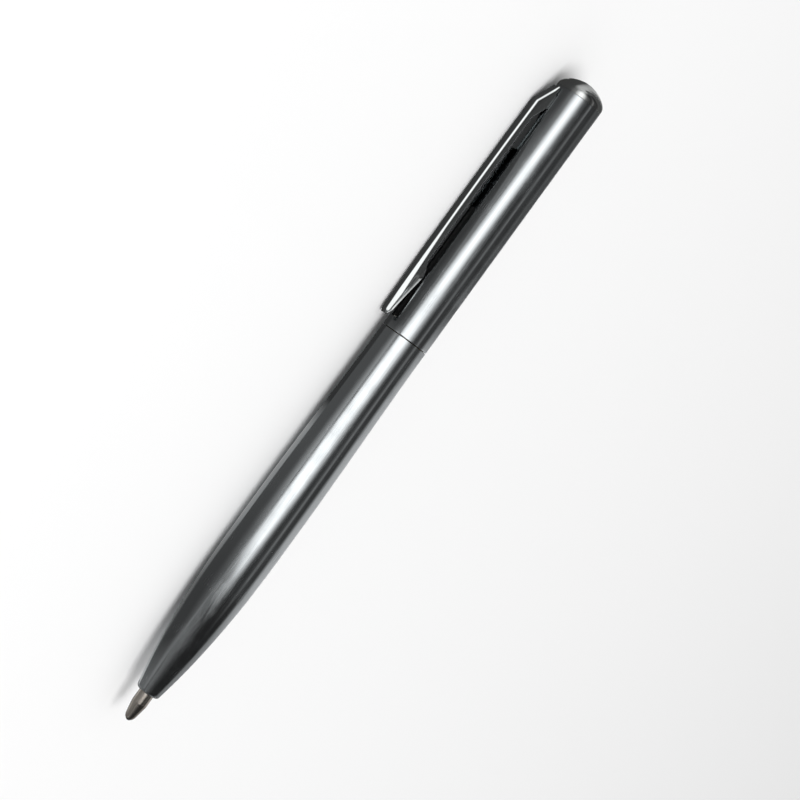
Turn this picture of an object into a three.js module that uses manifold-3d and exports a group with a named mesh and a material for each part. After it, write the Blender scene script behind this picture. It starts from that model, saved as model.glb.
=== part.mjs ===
import * as THREE from 'three';
import { mergeVertices } from 'three/addons/utils/BufferGeometryUtils.js';
import Module from 'manifold-3d';

// Mini twist-action ballpoint pen, in millimetres, with its writing point out.
// The pen is drawn along X: nose face at zero, crown towards +X, clip towards +Y.
// At the end it is laid on the ground on its belly and the edge of its clip.

// Lower barrel: one drawn tube, tapered to the nose
const LOWER_LENGTH = 62.5;
const NOSE_RADIUS = 1.78;
const NOSE_ROUND = 0.6;
const NOSE_BORE_LENGTH = 0.9;
const NOSE_CONE_LENGTH = 2;
const TAPER_LENGTH = 28;
const TAPER_POWER = 2.45;
const BELLY_RADIUS = 4.15;
const BELLY_LENGTH = 3;
const BARREL_RADIUS = 3.8;
const LOWER_WALL = 0.45;
const MOUTH_DEPTH = 14;
const MOUTH_RUNOUT = 1;
const SEAM_GAP = 0.08;
const SEAM_CHAMFER = 0.12;

// Upper barrel: a straight tube with a slot under the clip
const UPPER_LENGTH = 42.2;
const UPPER_WALL = 0.42;
const SLOT_START = 1.8;
const SLOT_LENGTH = 29.3;
const SLOT_WIDTH = 2.0;
const WINDOW_MARGIN = 0.15;

// Crown cap, pressed into the top of the tube, and the plug under it
const CROWN_STRAIGHT = 0.3;
const CROWN_RISE = 2.28;
const CROWN_FLAT_RADIUS = 0.9;
const CROWN_POWER = 0.65;
const CROWN_WALL = 0.45;
const CROWN_GAP = 0.05;
const SKIRT_LENGTH = 0.65;
const SKIRT_WALL = 0.4;
const PLUG_AHEAD_OF_CLIP = 1.5;
const PLUG_STEM_RADIUS = 2.2;
const PLUG_STEM_LENGTH = 1.0;

// Clip: a folded channel of spring steel
const CLIP_WIDTH = 1.8;
const CLIP_SHEET = 0.35;
const CLIP_EDGE_ROUND = 0.28;
const CLIP_START = 1.3;
const CLIP_END = 0.45;
const CLIP_PROUD = 2.2;
const CLIP_BOW = 0.34;
const CLIP_PEAK = 0.65;
const CLIP_BEND = 3.45;
const CLIP_SIDE_DEPTH = 1.05;
const CLIP_TOE_IN = 0.95;
const CLIP_SEAT_GAP = 0.06;
const BUMP_AT = 7.3;
const BUMP_RUN = 2.2;
const BUMP_FLAT = 0.5;
const LEG_LENGTH = 2.4;
const LEG_BACK = 1.2;
const TOE_LENGTH = 0.8;
const TOE_DEPTH = 0.45;
const TOE_GAP = 0.12;
const NOSE_DROP = 0.3;
const NOSE_WIDTH_SHARE = 0.8;
const NOSE_EDGE_RISE = 0.5;
const NOSE_WALL_LIFT = 0.12;
const ROUND_SHARE = 0.8;

// Refill: brass tube, turned point and its ball
const REFILL_LENGTH = 67;
const REFILL_RADIUS = 1.175;
const REFILL_OUT = 4.76;
const REFILL_WALL = 0.225;
const BALL_RADIUS = 0.5;
const BALL_CLEARANCE = 0.05;
const BALL_SHOWN = 0.33;
const LIP_WALL = 0.075;
const CRIMP_LENGTH = 0.45;
const CRIMP_RADIUS = 0.79;
const CONE_LENGTH = 2.9;
const POINT_COLLAR_END = 7.5;
const POINT_SHANK_LENGTH = 3;
const INK_CHANNEL_RADIUS = 0.3;
const INK_LENGTH = 42;
const NOSE_CLEARANCE = 0.075;

// Twist mechanism
const TRAVEL = 5;
const TWIST = Math.PI;
const PIN_RADIUS = 0.5;
const PIN_BEHIND_SEAM = 9.5;
const PIN_CLEARANCE = 0.06;
const PIN_RECESS = 0.15;
const COLLAR_FRONT_LENGTH = 9.5;
const COLLAR_REAR_LENGTH = 1.5;
const COLLAR_SHOULDER = 6;
const COLLAR_LIP = 0.6;
const RING_SECTION = 0.25;
const RING_INSETS = [8, 3];
const GUIDE_RADIUS = 2.3;
const GUIDE_WALL = 0.48;
const GUIDE_TAIL = 6;
const CARRIER_TAIL = 3.3;
const SOCKET_DEPTH = 7;
const SOCKET_SLIT_WIDTH = 0.5;
const SOCKET_SLIT_LENGTH = 5;
const WASHER_THICKNESS = 0.4;
const SLEEVE_TAIL = 4.2;
const JACKET_WALL = 0.3;
const FRICTION_WASHER_THICKNESS = 0.2;
const FRICTION_WASHER_DISH = 0.2;
const END_CAP_WALL = 0.45;

// Clearances between neighbours
const PRESS_GAP = 0.04;
const SLIDE_GAP = 0.05;
const TURN_GAP = 0.06;
const BEARING_GAP = 0.1;
const CARRIER_GAP = 0.07;
const FACE_GAP = 0.05;
const CUT_MARGIN = 1;

// Number of sides on the round pieces, and of steps along curves
const BARREL_SIDES = 40;
const INNER_SIDES = 32;
const REFILL_SIDES = 24;
const PIN_SIDES = 16;
const BALL_SIDES = 14;
const BALL_RINGS = 10;
const RING_SIDES = 8;
const SLOT_END_STEPS = 8;
const NOSE_STEPS = 4;
const TAPER_STEPS = 11;
const REAR_STEPS = 8;
const BORE_STEPS = 9;
const CROWN_STEPS = 9;
const CROWN_INNER_STEPS = 4;
const CLIP_STEPS = 8;
const EDGE_STEPS = 3;
const SOCKET_STEPS = 5;
const HELIX_STEPS = 24;

// Places along the pen, worked out from the sizes above
const seamX = LOWER_LENGTH;
const upperX = seamX + SEAM_GAP;
const crownX = upperX + UPPER_LENGTH;
const mouthRadius = BARREL_RADIUS - LOWER_WALL;
const upperBore = BARREL_RADIUS - UPPER_WALL;
const noseBore = REFILL_RADIUS + NOSE_CLEARANCE;
const clipX = seamX + CLIP_START;
const clipEndX = crownX - CLIP_END;
const clipBendX = clipEndX - CLIP_BEND;
const legX = clipEndX - LEG_BACK - LEG_LENGTH;
const legEndX = clipEndX - LEG_BACK;
const toeTop = Math.sqrt(upperBore ** 2 - (CLIP_WIDTH / 2) ** 2) - TOE_GAP;
const toeBottom = toeTop - TOE_DEPTH;
const refillX = -REFILL_OUT;
const refillEndX = refillX + REFILL_LENGTH;
const pinX = seamX + PIN_BEHIND_SEAM;
const collarX = seamX - COLLAR_FRONT_LENGTH;
const collarEndX = seamX + COLLAR_REAR_LENGTH;
const shoulderX = seamX - COLLAR_SHOULDER;
const guideX = shoulderX + FACE_GAP;
const guideEndX = pinX + TRAVEL + GUIDE_TAIL;
const sleeveX = collarEndX + WASHER_THICKNESS + 2 * FACE_GAP;
const sleeveEndX = pinX + TRAVEL + SLEEVE_TAIL;
const endCapEndX = guideEndX + FACE_GAP + END_CAP_WALL;
const jacketOuter = upperBore - PRESS_GAP;
const jacketInner = jacketOuter - JACKET_WALL;
const sleeveOuter = jacketInner - PRESS_GAP;
const sleeveInner = GUIDE_RADIUS + TURN_GAP;
const carrierRadius = GUIDE_RADIUS - GUIDE_WALL - CARRIER_GAP;
const socketX = refillEndX - SOCKET_DEPTH;
const cutReach = 2 * BARREL_RADIUS;

const wasm = await Module();
wasm.setup();

// A closed geometry as a solid that can be cut: one vertex per corner, no empty triangles
function toSolid(geometry) {
  const bare = geometry.clone();
  bare.deleteAttribute('normal');
  bare.deleteAttribute('uv');
  const merged = mergeVertices(bare, 1e-4);
  const index = merged.index.array;
  const triangles = [];
  for (let i = 0; i < index.length; i += 3) {
    const [a, b, c] = [index[i], index[i + 1], index[i + 2]];
    if (a !== b && b !== c && c !== a) triangles.push(a, b, c);
  }
  return new wasm.Manifold(new wasm.Mesh({
    numProp: 3,
    vertProperties: new Float32Array(merged.attributes.position.array),
    triVerts: new Uint32Array(triangles),
  }));
}

function toGeometry(manifold) {
  const mesh = manifold.getMesh();
  const geometry = new THREE.BufferGeometry();
  geometry.setAttribute('position', new THREE.BufferAttribute(mesh.vertProperties, 3));
  geometry.setIndex(new THREE.BufferAttribute(mesh.triVerts, 1));
  const faceted = geometry.toNonIndexed();
  faceted.computeVertexNormals();
  return faceted;
}

function cut(geometry, ...cutters) {
  let body = toSolid(geometry);
  for (const cutter of cutters) body = body.subtract(toSolid(cutter));
  return toGeometry(body);
}

function join(...geometries) {
  let body = toSolid(geometries[0]);
  for (const geometry of geometries.slice(1)) body = body.add(toSolid(geometry));
  return toGeometry(body);
}

// A profile of [x, radius] points turned about the pen's axis
function turned(profile, sides) {
  const points = profile.map(([x, radius]) => new THREE.Vector2(radius, x));
  return new THREE.LatheGeometry(points, sides).rotateZ(-Math.PI / 2);
}

// A plain ring or tube between two radii and two places
function ring(startX, endX, inner, outer, sides) {
  return turned([[startX, inner], [startX, outer], [endX, outer], [endX, inner], [startX, inner]], sides);
}

// An outline in the plane of the clip, given a thickness across the pen
function plate(points, thickness, middleZ = 0) {
  const shape = new THREE.Shape(points.map(([x, y]) => new THREE.Vector2(x, y)));
  const geometry = new THREE.ExtrudeGeometry(shape, { depth: thickness, bevelEnabled: false });
  return geometry.translate(0, 0, middleZ - thickness / 2);
}

// A round-ended slot along the pen, as a cutter standing on the axis towards +Y
function slotCutter(startX, endX, width, bottomY, topY) {
  const radius = width / 2;
  const shape = new THREE.Shape();
  shape.moveTo(startX + radius, -radius);
  shape.lineTo(endX - radius, -radius);
  shape.absarc(endX - radius, 0, radius, -Math.PI / 2, Math.PI / 2, false);
  shape.lineTo(startX + radius, radius);
  shape.absarc(startX + radius, 0, radius, Math.PI / 2, 3 * Math.PI / 2, false);
  const geometry = new THREE.ExtrudeGeometry(shape, {
    depth: topY - bottomY,
    bevelEnabled: false,
    curveSegments: SLOT_END_STEPS,
  });
  return geometry.rotateX(-Math.PI / 2).translate(0, bottomY, 0);
}

// Convex sections with the same number of points, each listed counter-clockwise about the
// way that the sections follow each other, joined into one closed body with flat ends
function lofted(sections) {
  const count = sections[0].length;
  const lastRow = (sections.length - 1) * count;
  const index = [];
  for (let row = 0; row < lastRow; row += count) {
    for (let j = 0; j < count; j += 1) {
      const a = row + j;
      const b = row + (j + 1) % count;
      index.push(a, b, a + count, b, b + count, a + count);
    }
  }
  for (let j = 1; j < count - 1; j += 1) {
    index.push(0, j + 1, j, lastRow, lastRow + j, lastRow + j + 1);
  }
  const geometry = new THREE.BufferGeometry();
  geometry.setAttribute('position', new THREE.Float32BufferAttribute(sections.flat(2), 3));
  geometry.setIndex(index);
  return geometry;
}

// Outer radius of the lower barrel: a power curve from the nose to the belly,
// then half a cosine wave down to the seam
function lowerRadius(x) {
  if (x < TAPER_LENGTH) {
    return BELLY_RADIUS - (BELLY_RADIUS - NOSE_RADIUS) * (1 - x / TAPER_LENGTH) ** TAPER_POWER;
  }
  const start = TAPER_LENGTH + BELLY_LENGTH;
  const share = Math.max(0, (x - start) / (LOWER_LENGTH - start));
  return BELLY_RADIUS - (BELLY_RADIUS - BARREL_RADIUS) * (1 - Math.cos(Math.PI * share)) / 2;
}

function lowerBarrel() {
  const profile = [];
  const rimHeight = lowerRadius(NOSE_ROUND) - noseBore;
  for (let i = 0; i <= NOSE_STEPS; i += 1) {
    const angle = i / NOSE_STEPS * Math.PI / 2;
    profile.push([NOSE_ROUND * (1 - Math.cos(angle)), noseBore + rimHeight * Math.sin(angle)]);
  }
  for (let i = 1; i <= TAPER_STEPS; i += 1) {
    const x = NOSE_ROUND + (TAPER_LENGTH - NOSE_ROUND) * i / TAPER_STEPS;
    profile.push([x, lowerRadius(x)]);
  }
  const rearX = TAPER_LENGTH + BELLY_LENGTH;
  for (let i = 0; i < REAR_STEPS; i += 1) {
    const x = rearX + (seamX - rearX) * i / REAR_STEPS;
    profile.push([x, lowerRadius(x)]);
  }
  profile.push([seamX - SEAM_CHAMFER, BARREL_RADIUS]);
  profile.push([seamX, BARREL_RADIUS - SEAM_CHAMFER]);
  profile.push([seamX, mouthRadius]);
  const mouthEndX = seamX - MOUTH_DEPTH;
  profile.push([mouthEndX, mouthRadius]);
  const boreEndX = mouthEndX - MOUTH_RUNOUT;
  const boreStartX = NOSE_BORE_LENGTH + NOSE_CONE_LENGTH;
  for (let i = 1; i <= BORE_STEPS; i += 1) {
    const x = boreEndX - (boreEndX - boreStartX) * i / BORE_STEPS;
    profile.push([x, lowerRadius(x) - LOWER_WALL]);
  }
  profile.push([NOSE_BORE_LENGTH, noseBore]);
  profile.push(profile[0]);
  return turned(profile, BARREL_SIDES);
}

function upperBarrel() {
  const tube = turned([
    [upperX, upperBore],
    [upperX, BARREL_RADIUS - SEAM_CHAMFER],
    [upperX + SEAM_CHAMFER, BARREL_RADIUS],
    [crownX, BARREL_RADIUS],
    [crownX, upperBore],
    [upperX, upperBore],
  ], BARREL_SIDES);
  const slotX = seamX + SLOT_START;
  const slot = slotCutter(slotX, slotX + SLOT_LENGTH, SLOT_WIDTH, 0, cutReach);
  const windowWidth = CLIP_WIDTH + 2 * WINDOW_MARGIN;
  const window = plate([
    [legX - WINDOW_MARGIN, 0],
    [legEndX + WINDOW_MARGIN, 0],
    [legEndX + WINDOW_MARGIN, cutReach],
    [legX - WINDOW_MARGIN, cutReach],
  ], windowWidth);
  return cut(tube, slot, window);
}

// Radius of a dome at a share of its rise, from its foot to its closed top
function domeRadius(footRadius, share) {
  return footRadius * (1 - share ** 2) ** CROWN_POWER;
}

function crownCap() {
  const seatX = crownX + CROWN_GAP;
  const domeX = seatX + CROWN_STRAIGHT;
  const flatShare = Math.sqrt(1 - (CROWN_FLAT_RADIUS / BARREL_RADIUS) ** (1 / CROWN_POWER));
  const skirtRadius = upperBore - PRESS_GAP;
  const skirtInner = skirtRadius - SKIRT_WALL;
  const topX = domeX + CROWN_RISE * flatShare;
  const innerRise = topX - CROWN_WALL - seatX;
  const profile = [[seatX + innerRise, 0]];
  for (let i = 1; i <= CROWN_INNER_STEPS; i += 1) {
    const share = Math.cos(i / CROWN_INNER_STEPS * Math.PI / 2);
    profile.push([seatX + innerRise * share, domeRadius(skirtInner, share)]);
  }
  profile.push(
    [crownX - SKIRT_LENGTH, skirtInner],
    [crownX - SKIRT_LENGTH, skirtRadius],
    [seatX, skirtRadius],
    [seatX, BARREL_RADIUS - SEAM_CHAMFER / 2],
    [seatX + SEAM_CHAMFER / 2, BARREL_RADIUS],
  );
  for (let i = 0; i <= CROWN_STEPS; i += 1) {
    const share = flatShare * Math.sin(i / CROWN_STEPS * Math.PI / 2);
    profile.push([domeX + CROWN_RISE * share, domeRadius(BARREL_RADIUS, share)]);
  }
  profile.push([topX, 0]);
  return turned(profile, BARREL_SIDES);
}

function crownPlug() {
  const startX = legX - PLUG_AHEAD_OF_CLIP;
  const endX = crownX - SKIRT_LENGTH - FACE_GAP;
  const body = turned([
    [startX, 0],
    [startX, upperBore - BEARING_GAP],
    [endX, upperBore - BEARING_GAP],
    [endX, PLUG_STEM_RADIUS],
    [endX + PLUG_STEM_LENGTH, PLUG_STEM_RADIUS],
    [endX + PLUG_STEM_LENGTH, 0],
  ], INNER_SIDES);
  const pocketStart = legX - WINDOW_MARGIN;
  const pocketEnd = endX + PLUG_STEM_LENGTH + CUT_MARGIN;
  const pocket = plate([
    [pocketStart, toeBottom - TOE_GAP],
    [pocketEnd, toeBottom - TOE_GAP],
    [pocketEnd, cutReach],
    [pocketStart, cutReach],
  ], CLIP_WIDTH + 2 * TOE_GAP);
  return cut(body, pocket);
}

// Height of the clip's outer face above the pen's axis
function clipTop(x) {
  const highest = BARREL_RADIUS + CLIP_PROUD;
  if (x <= clipBendX) {
    const share = (x - clipX) / (clipBendX - clipX);
    return highest - CLIP_BOW * ((share - CLIP_PEAK) / CLIP_PEAK) ** 2;
  }
  const share = (x - clipBendX) / (clipEndX - clipBendX);
  const heel = BARREL_RADIUS + CLIP_SEAT_GAP + CLIP_SHEET;
  return clipTop(clipBendX) * (1 - share) + heel * share;
}

// Height of the lower edge of the clip's side walls: drawn in at the toe,
// down to the barrel at the bump, and down again where the legs are
function clipBottom(x) {
  const seat = BARREL_RADIUS + CLIP_SEAT_GAP;
  const along = x - clipX;
  const plain = clipTop(Math.min(x, clipBendX)) - CLIP_SIDE_DEPTH;
  const toe = plain + NOSE_WALL_LIFT;
  const bumpStart = BUMP_AT - BUMP_FLAT / 2;
  const bumpEnd = BUMP_AT + BUMP_FLAT / 2;
  if (along < CLIP_TOE_IN) return toe + NOSE_EDGE_RISE * (1 - along / CLIP_TOE_IN);
  if (along < bumpStart) {
    const share = (along - CLIP_TOE_IN) / (bumpStart - CLIP_TOE_IN);
    return toe * (1 - share) + seat * share;
  }
  if (along <= bumpEnd) return seat;
  if (along < bumpEnd + BUMP_RUN) {
    const share = (along - bumpEnd) / BUMP_RUN;
    return seat * (1 - share) + plain * share;
  }
  const legStart = legX - BUMP_RUN;
  if (x < legStart) return plain;
  if (x < legX) return plain + (seat - plain) * (x - legStart) / BUMP_RUN;
  return seat;
}

// One section of the clip's outside, with its two upper edges rounded
function clipSection(x) {
  const half = CLIP_WIDTH / 2;
  const top = clipTop(x);
  const bottom = clipBottom(x);
  const round = Math.min(CLIP_EDGE_ROUND, (top - bottom) * ROUND_SHARE);
  const section = [[x, bottom, half], [x, bottom, -half]];
  for (const side of [-1, 1]) {
    for (let i = 0; i <= EDGE_STEPS; i += 1) {
      const angle = (side < 0 ? i : EDGE_STEPS - i) / EDGE_STEPS * Math.PI / 2;
      const y = top - round + round * Math.sin(angle);
      section.push([x, y, side * (half - round + round * Math.cos(angle))]);
    }
  }
  return section;
}

function clip() {
  const bumpStart = BUMP_AT - BUMP_FLAT / 2;
  const bumpEnd = BUMP_AT + BUMP_FLAT / 2;
  const stations = [clipX + CLIP_TOE_IN / 3, clipX + CLIP_TOE_IN];
  stations.push(clipX + bumpStart, clipX + bumpEnd, clipX + bumpEnd + BUMP_RUN);
  const longStart = clipX + bumpEnd + BUMP_RUN;
  const longEnd = legX - BUMP_RUN;
  for (let i = 1; i <= CLIP_STEPS; i += 1) {
    stations.push(longStart + (longEnd - longStart) * i / CLIP_STEPS);
  }
  stations.push(legX, clipBendX, legEndX, clipEndX);
  stations.sort((a, b) => a - b);
  const first = clipSection(clipX).map(([x, y, z]) => [x, y - NOSE_DROP, z * NOSE_WIDTH_SHARE]);
  const outside = lofted([first, ...stations.map(clipSection)]);

  const half = CLIP_WIDTH / 2 - CLIP_SHEET;
  const hollowStart = clipX + CLIP_TOE_IN + CLIP_SHEET;
  const hollowEnd = clipEndX - 2 * CLIP_SHEET;
  const between = stations.filter((x) => x > hollowStart && x < hollowEnd);
  const hollow = lofted([hollowStart, ...between, hollowEnd].map((x) => {
    const top = clipTop(x) - CLIP_SHEET;
    return [[x, 0, half], [x, 0, -half], [x, top, -half], [x, top, half]];
  }));

  const legs = [-1, 1].map((side) => plate([
    [legX, BARREL_RADIUS + CLIP_SHEET],
    [legX, toeBottom],
    [legEndX + TOE_LENGTH, toeBottom],
    [legEndX + TOE_LENGTH, toeTop],
    [legEndX, toeTop],
    [legEndX, BARREL_RADIUS + CLIP_SHEET],
  ], CLIP_SHEET, side * (CLIP_WIDTH - CLIP_SHEET) / 2));
  return join(cut(outside, hollow), ...legs);
}

function refillPoint() {
  const ballX = refillX + BALL_RADIUS;
  const socket = BALL_RADIUS + BALL_CLEARANCE;
  const lipAngle = Math.acos((BALL_RADIUS - BALL_SHOWN) / BALL_RADIUS);
  const channelAngle = Math.PI - Math.asin(INK_CHANNEL_RADIUS / socket);
  const lipX = ballX - socket * Math.cos(lipAngle);
  const lipRadius = socket * Math.sin(lipAngle);
  const shankRadius = REFILL_RADIUS - REFILL_WALL - PRESS_GAP;
  const collarEnd = refillX + POINT_COLLAR_END;
  const shankEnd = collarEnd + POINT_SHANK_LENGTH;
  const profile = [
    [lipX, lipRadius],
    [lipX, lipRadius + LIP_WALL],
    [lipX + CRIMP_LENGTH, CRIMP_RADIUS],
    [refillX + CONE_LENGTH, REFILL_RADIUS],
    [collarEnd, REFILL_RADIUS],
    [collarEnd, shankRadius],
    [shankEnd, shankRadius],
    [shankEnd, INK_CHANNEL_RADIUS],
  ];
  for (let i = 0; i <= SOCKET_STEPS; i += 1) {
    const angle = channelAngle + (lipAngle - channelAngle) * i / SOCKET_STEPS;
    profile.push([ballX - socket * Math.cos(angle), socket * Math.sin(angle)]);
  }
  profile[profile.length - 1] = profile[0];
  return turned(profile, REFILL_SIDES);
}

function writingBall() {
  const ball = new THREE.SphereGeometry(BALL_RADIUS, BALL_SIDES, BALL_RINGS);
  return ball.translate(refillX + BALL_RADIUS, 0, 0);
}

function refillTube() {
  const startX = refillX + POINT_COLLAR_END + FACE_GAP;
  return ring(startX, refillEndX, REFILL_RADIUS - REFILL_WALL, REFILL_RADIUS, REFILL_SIDES);
}

function inkColumn() {
  const startX = refillX + POINT_COLLAR_END + POINT_SHANK_LENGTH + 2 * FACE_GAP;
  const endX = startX + INK_LENGTH;
  const radius = REFILL_RADIUS - REFILL_WALL - PRESS_GAP;
  return turned([[startX, 0], [startX, radius], [endX, radius], [endX, 0]], REFILL_SIDES);
}

// Collar that joins the two halves: its front part grips the lower barrel through two
// rubber rings, its rear part is the bearing of the upper barrel's mouth
function barrelCollar() {
  const front = mouthRadius - SLIDE_GAP;
  const rear = upperBore - BEARING_GAP;
  const grooveBottom = front - 2 * RING_SECTION - PRESS_GAP / 2;
  const grooveHalf = RING_SECTION + PRESS_GAP;
  const guideBore = GUIDE_RADIUS + PRESS_GAP;
  const lipBore = carrierRadius + 2 * CARRIER_GAP;
  const profile = [[collarX, guideBore]];
  profile.push([collarX, front - SEAM_CHAMFER], [collarX + SEAM_CHAMFER, front]);
  for (const inset of RING_INSETS) {
    const middle = seamX - inset;
    profile.push([middle - grooveHalf, front], [middle - grooveHalf, grooveBottom]);
    profile.push([middle + grooveHalf, grooveBottom], [middle + grooveHalf, front]);
  }
  profile.push([seamX, front], [seamX + SEAM_GAP, rear]);
  profile.push([collarEndX, rear], [collarEndX, guideBore]);
  profile.push([shoulderX, guideBore], [shoulderX, lipBore]);
  profile.push([shoulderX - COLLAR_LIP, lipBore], [shoulderX - COLLAR_LIP, guideBore], profile[0]);
  return turned(profile, INNER_SIDES);
}

function gripRing(inset) {
  const middleRadius = mouthRadius - SLIDE_GAP / 2 - RING_SECTION;
  const profile = [];
  for (let i = 0; i < RING_SIDES; i += 1) {
    const angle = -i / RING_SIDES * 2 * Math.PI;
    profile.push([
      seamX - inset - RING_SECTION * Math.cos(angle),
      middleRadius - RING_SECTION * Math.sin(angle),
    ]);
  }
  profile.push(profile[0]);
  return turned(profile, INNER_SIDES);
}

function guideTube() {
  const tube = ring(guideX, guideEndX, GUIDE_RADIUS - GUIDE_WALL, GUIDE_RADIUS, INNER_SIDES);
  const half = PIN_RADIUS + PIN_CLEARANCE;
  const slot = slotCutter(pinX - half, pinX + TRAVEL + half, 2 * half, -cutReach, cutReach);
  return cut(tube, slot.rotateX(Math.PI / 2));
}

function thrustWasher() {
  const startX = collarEndX + FACE_GAP;
  return ring(startX, startX + WASHER_THICKNESS, sleeveInner, upperBore - BEARING_GAP, INNER_SIDES);
}

// The room that the cross pin sweeps on one side of the turning sleeve: a band along a
// helix, square to the helix at every radius, with a round end where the pin stops
function helixCutters(startAngle) {
  const inner = GUIDE_RADIUS - GUIDE_WALL;
  const outer = sleeveOuter + CUT_MARGIN;
  const rise = TRAVEL / TWIST;
  const half = PIN_RADIUS + PIN_CLEARANCE;
  const corner = (turn, radius, side) => {
    const slope = Math.hypot(radius, rise);
    const x = pinX + rise * turn + side * half * radius / slope;
    const angle = startAngle - turn + side * half * rise / (slope * radius);
    return [x, radius * Math.cos(angle), radius * Math.sin(angle)];
  };
  const sections = [];
  for (let i = 0; i <= HELIX_STEPS; i += 1) {
    const turn = TWIST * i / HELIX_STEPS;
    sections.push([
      corner(turn, inner, -1),
      corner(turn, outer, -1),
      corner(turn, outer, 1),
      corner(turn, inner, 1),
    ]);
  }
  const ends = [0, TWIST].map((turn) => {
    const end = new THREE.CylinderGeometry(half, half, outer - inner, PIN_SIDES);
    end.translate(0, (outer + inner) / 2, 0).rotateX(startAngle - turn);
    return end.translate(pinX + rise * turn, 0, 0);
  });
  return [lofted(sections), ...ends];
}

function camSleeve() {
  const tube = ring(sleeveX, sleeveEndX, sleeveInner, sleeveOuter, INNER_SIDES);
  return cut(tube, ...helixCutters(Math.PI / 2), ...helixCutters(-Math.PI / 2));
}

// Dark tube round the whole mechanism, which is what the slot under the clip shows
function mechanismJacket() {
  return ring(sleeveX, endCapEndX, jacketInner, jacketOuter, INNER_SIDES);
}

// Dished spring washer that keeps a light drag on the turning sleeve
function frictionWasher() {
  const x = sleeveEndX + FACE_GAP;
  const far = x + FRICTION_WASHER_DISH;
  return turned([
    [far, sleeveInner],
    [x, sleeveOuter - PRESS_GAP],
    [x + FRICTION_WASHER_THICKNESS, sleeveOuter - PRESS_GAP],
    [far + FRICTION_WASHER_THICKNESS, sleeveInner],
    [far, sleeveInner],
  ], INNER_SIDES);
}

function mechanismEndCap() {
  const startX = sleeveEndX + 2 * FACE_GAP + FRICTION_WASHER_DISH + FRICTION_WASHER_THICKNESS;
  const inner = GUIDE_RADIUS + PRESS_GAP;
  return turned([
    [endCapEndX - END_CAP_WALL, 0],
    [endCapEndX - END_CAP_WALL, inner],
    [startX, inner],
    [startX, inner + END_CAP_WALL],
    [endCapEndX - SEAM_CHAMFER, inner + END_CAP_WALL],
    [endCapEndX, inner + END_CAP_WALL - SEAM_CHAMFER],
    [endCapEndX, 0],
  ], INNER_SIDES);
}

function refillCarrier() {
  const bottomX = refillEndX + FACE_GAP;
  const endX = pinX + CARRIER_TAIL;
  const socketRadius = REFILL_RADIUS + SLIDE_GAP / 2;
  const body = turned([
    [bottomX, 0],
    [bottomX, socketRadius],
    [socketX, socketRadius],
    [socketX, carrierRadius - SEAM_CHAMFER],
    [socketX + SEAM_CHAMFER, carrierRadius],
    [endX - SEAM_CHAMFER, carrierRadius],
    [endX, carrierRadius - SEAM_CHAMFER],
    [endX, 0],
  ], INNER_SIDES);
  const slitEnd = socketX + SOCKET_SLIT_LENGTH;
  const slit = plate([
    [socketX - CUT_MARGIN, -cutReach],
    [slitEnd, -cutReach],
    [slitEnd, cutReach],
    [socketX - CUT_MARGIN, cutReach],
  ], SOCKET_SLIT_WIDTH);
  const pinHole = pinCylinder(PIN_RADIUS + PRESS_GAP, 2 * cutReach);
  return cut(body, slit, pinHole);
}

function pinCylinder(radius, length) {
  const pin = new THREE.CylinderGeometry(radius, radius, length, PIN_SIDES);
  return pin.rotateX(Math.PI / 2).translate(pinX, 0, 0);
}

function carrierPin() {
  return pinCylinder(PIN_RADIUS, 2 * (sleeveOuter - PIN_RECESS));
}

const finishes = {
  chrome: { color: 0xc9cbcd, roughness: 0.12, metalness: 1 },
  springSteel: { color: 0xb9bbbc, roughness: 0.16, metalness: 1 },
  nickelSilver: { color: 0xb7ac9c, roughness: 0.25, metalness: 1 },
  carbide: { color: 0x8f9193, roughness: 0.2, metalness: 1 },
  brass: { color: 0xc9a557, roughness: 0.3, metalness: 1 },
  steel: { color: 0xa6a8aa, roughness: 0.3, metalness: 1 },
  ink: { color: 0x101a44, roughness: 0.35, metalness: 0 },
  rubber: { color: 0x1c1c1d, roughness: 0.8, metalness: 0 },
  whitePlastic: { color: 0xe6e4dc, roughness: 0.5, metalness: 0 },
  blackPlastic: { color: 0x26272a, roughness: 0.5, metalness: 0 },
};

function piece(name, finish, geometry) {
  const mesh = new THREE.Mesh(geometry, new THREE.MeshStandardMaterial(finishes[finish]));
  mesh.name = name;
  return mesh;
}

function group(...children) {
  const made = new THREE.Group();
  made.add(...children);
  return made;
}

const lowerHalf = group(piece('lower_barrel', 'chrome', lowerBarrel()));

const mechanism = group(
  piece('barrel_collar', 'brass', barrelCollar()),
  piece('grip_ring_front', 'rubber', gripRing(RING_INSETS[0])),
  piece('grip_ring_rear', 'rubber', gripRing(RING_INSETS[1])),
  piece('guide_tube', 'brass', guideTube()),
  piece('thrust_washer', 'whitePlastic', thrustWasher()),
  piece('friction_washer', 'steel', frictionWasher()),
  piece('mechanism_end_cap', 'brass', mechanismEndCap()),
);

const refill = group(
  piece('refill_point', 'nickelSilver', refillPoint()),
  piece('writing_ball', 'carbide', writingBall()),
  piece('refill_tube', 'brass', refillTube()),
  piece('ink_column', 'ink', inkColumn()),
  piece('refill_carrier', 'blackPlastic', refillCarrier()),
  piece('carrier_pin', 'steel', carrierPin()),
);

const upperHalf = group(
  piece('upper_barrel', 'chrome', upperBarrel()),
  piece('cam_sleeve', 'whitePlastic', camSleeve()),
  piece('mechanism_jacket', 'blackPlastic', mechanismJacket()),
  piece('crown_plug', 'blackPlastic', crownPlug()),
  piece('crown_cap', 'chrome', crownCap()),
  piece('clip', 'springSteel', clip()),
);

const pen = group(lowerHalf, mechanism, refill, upperHalf);

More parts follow.
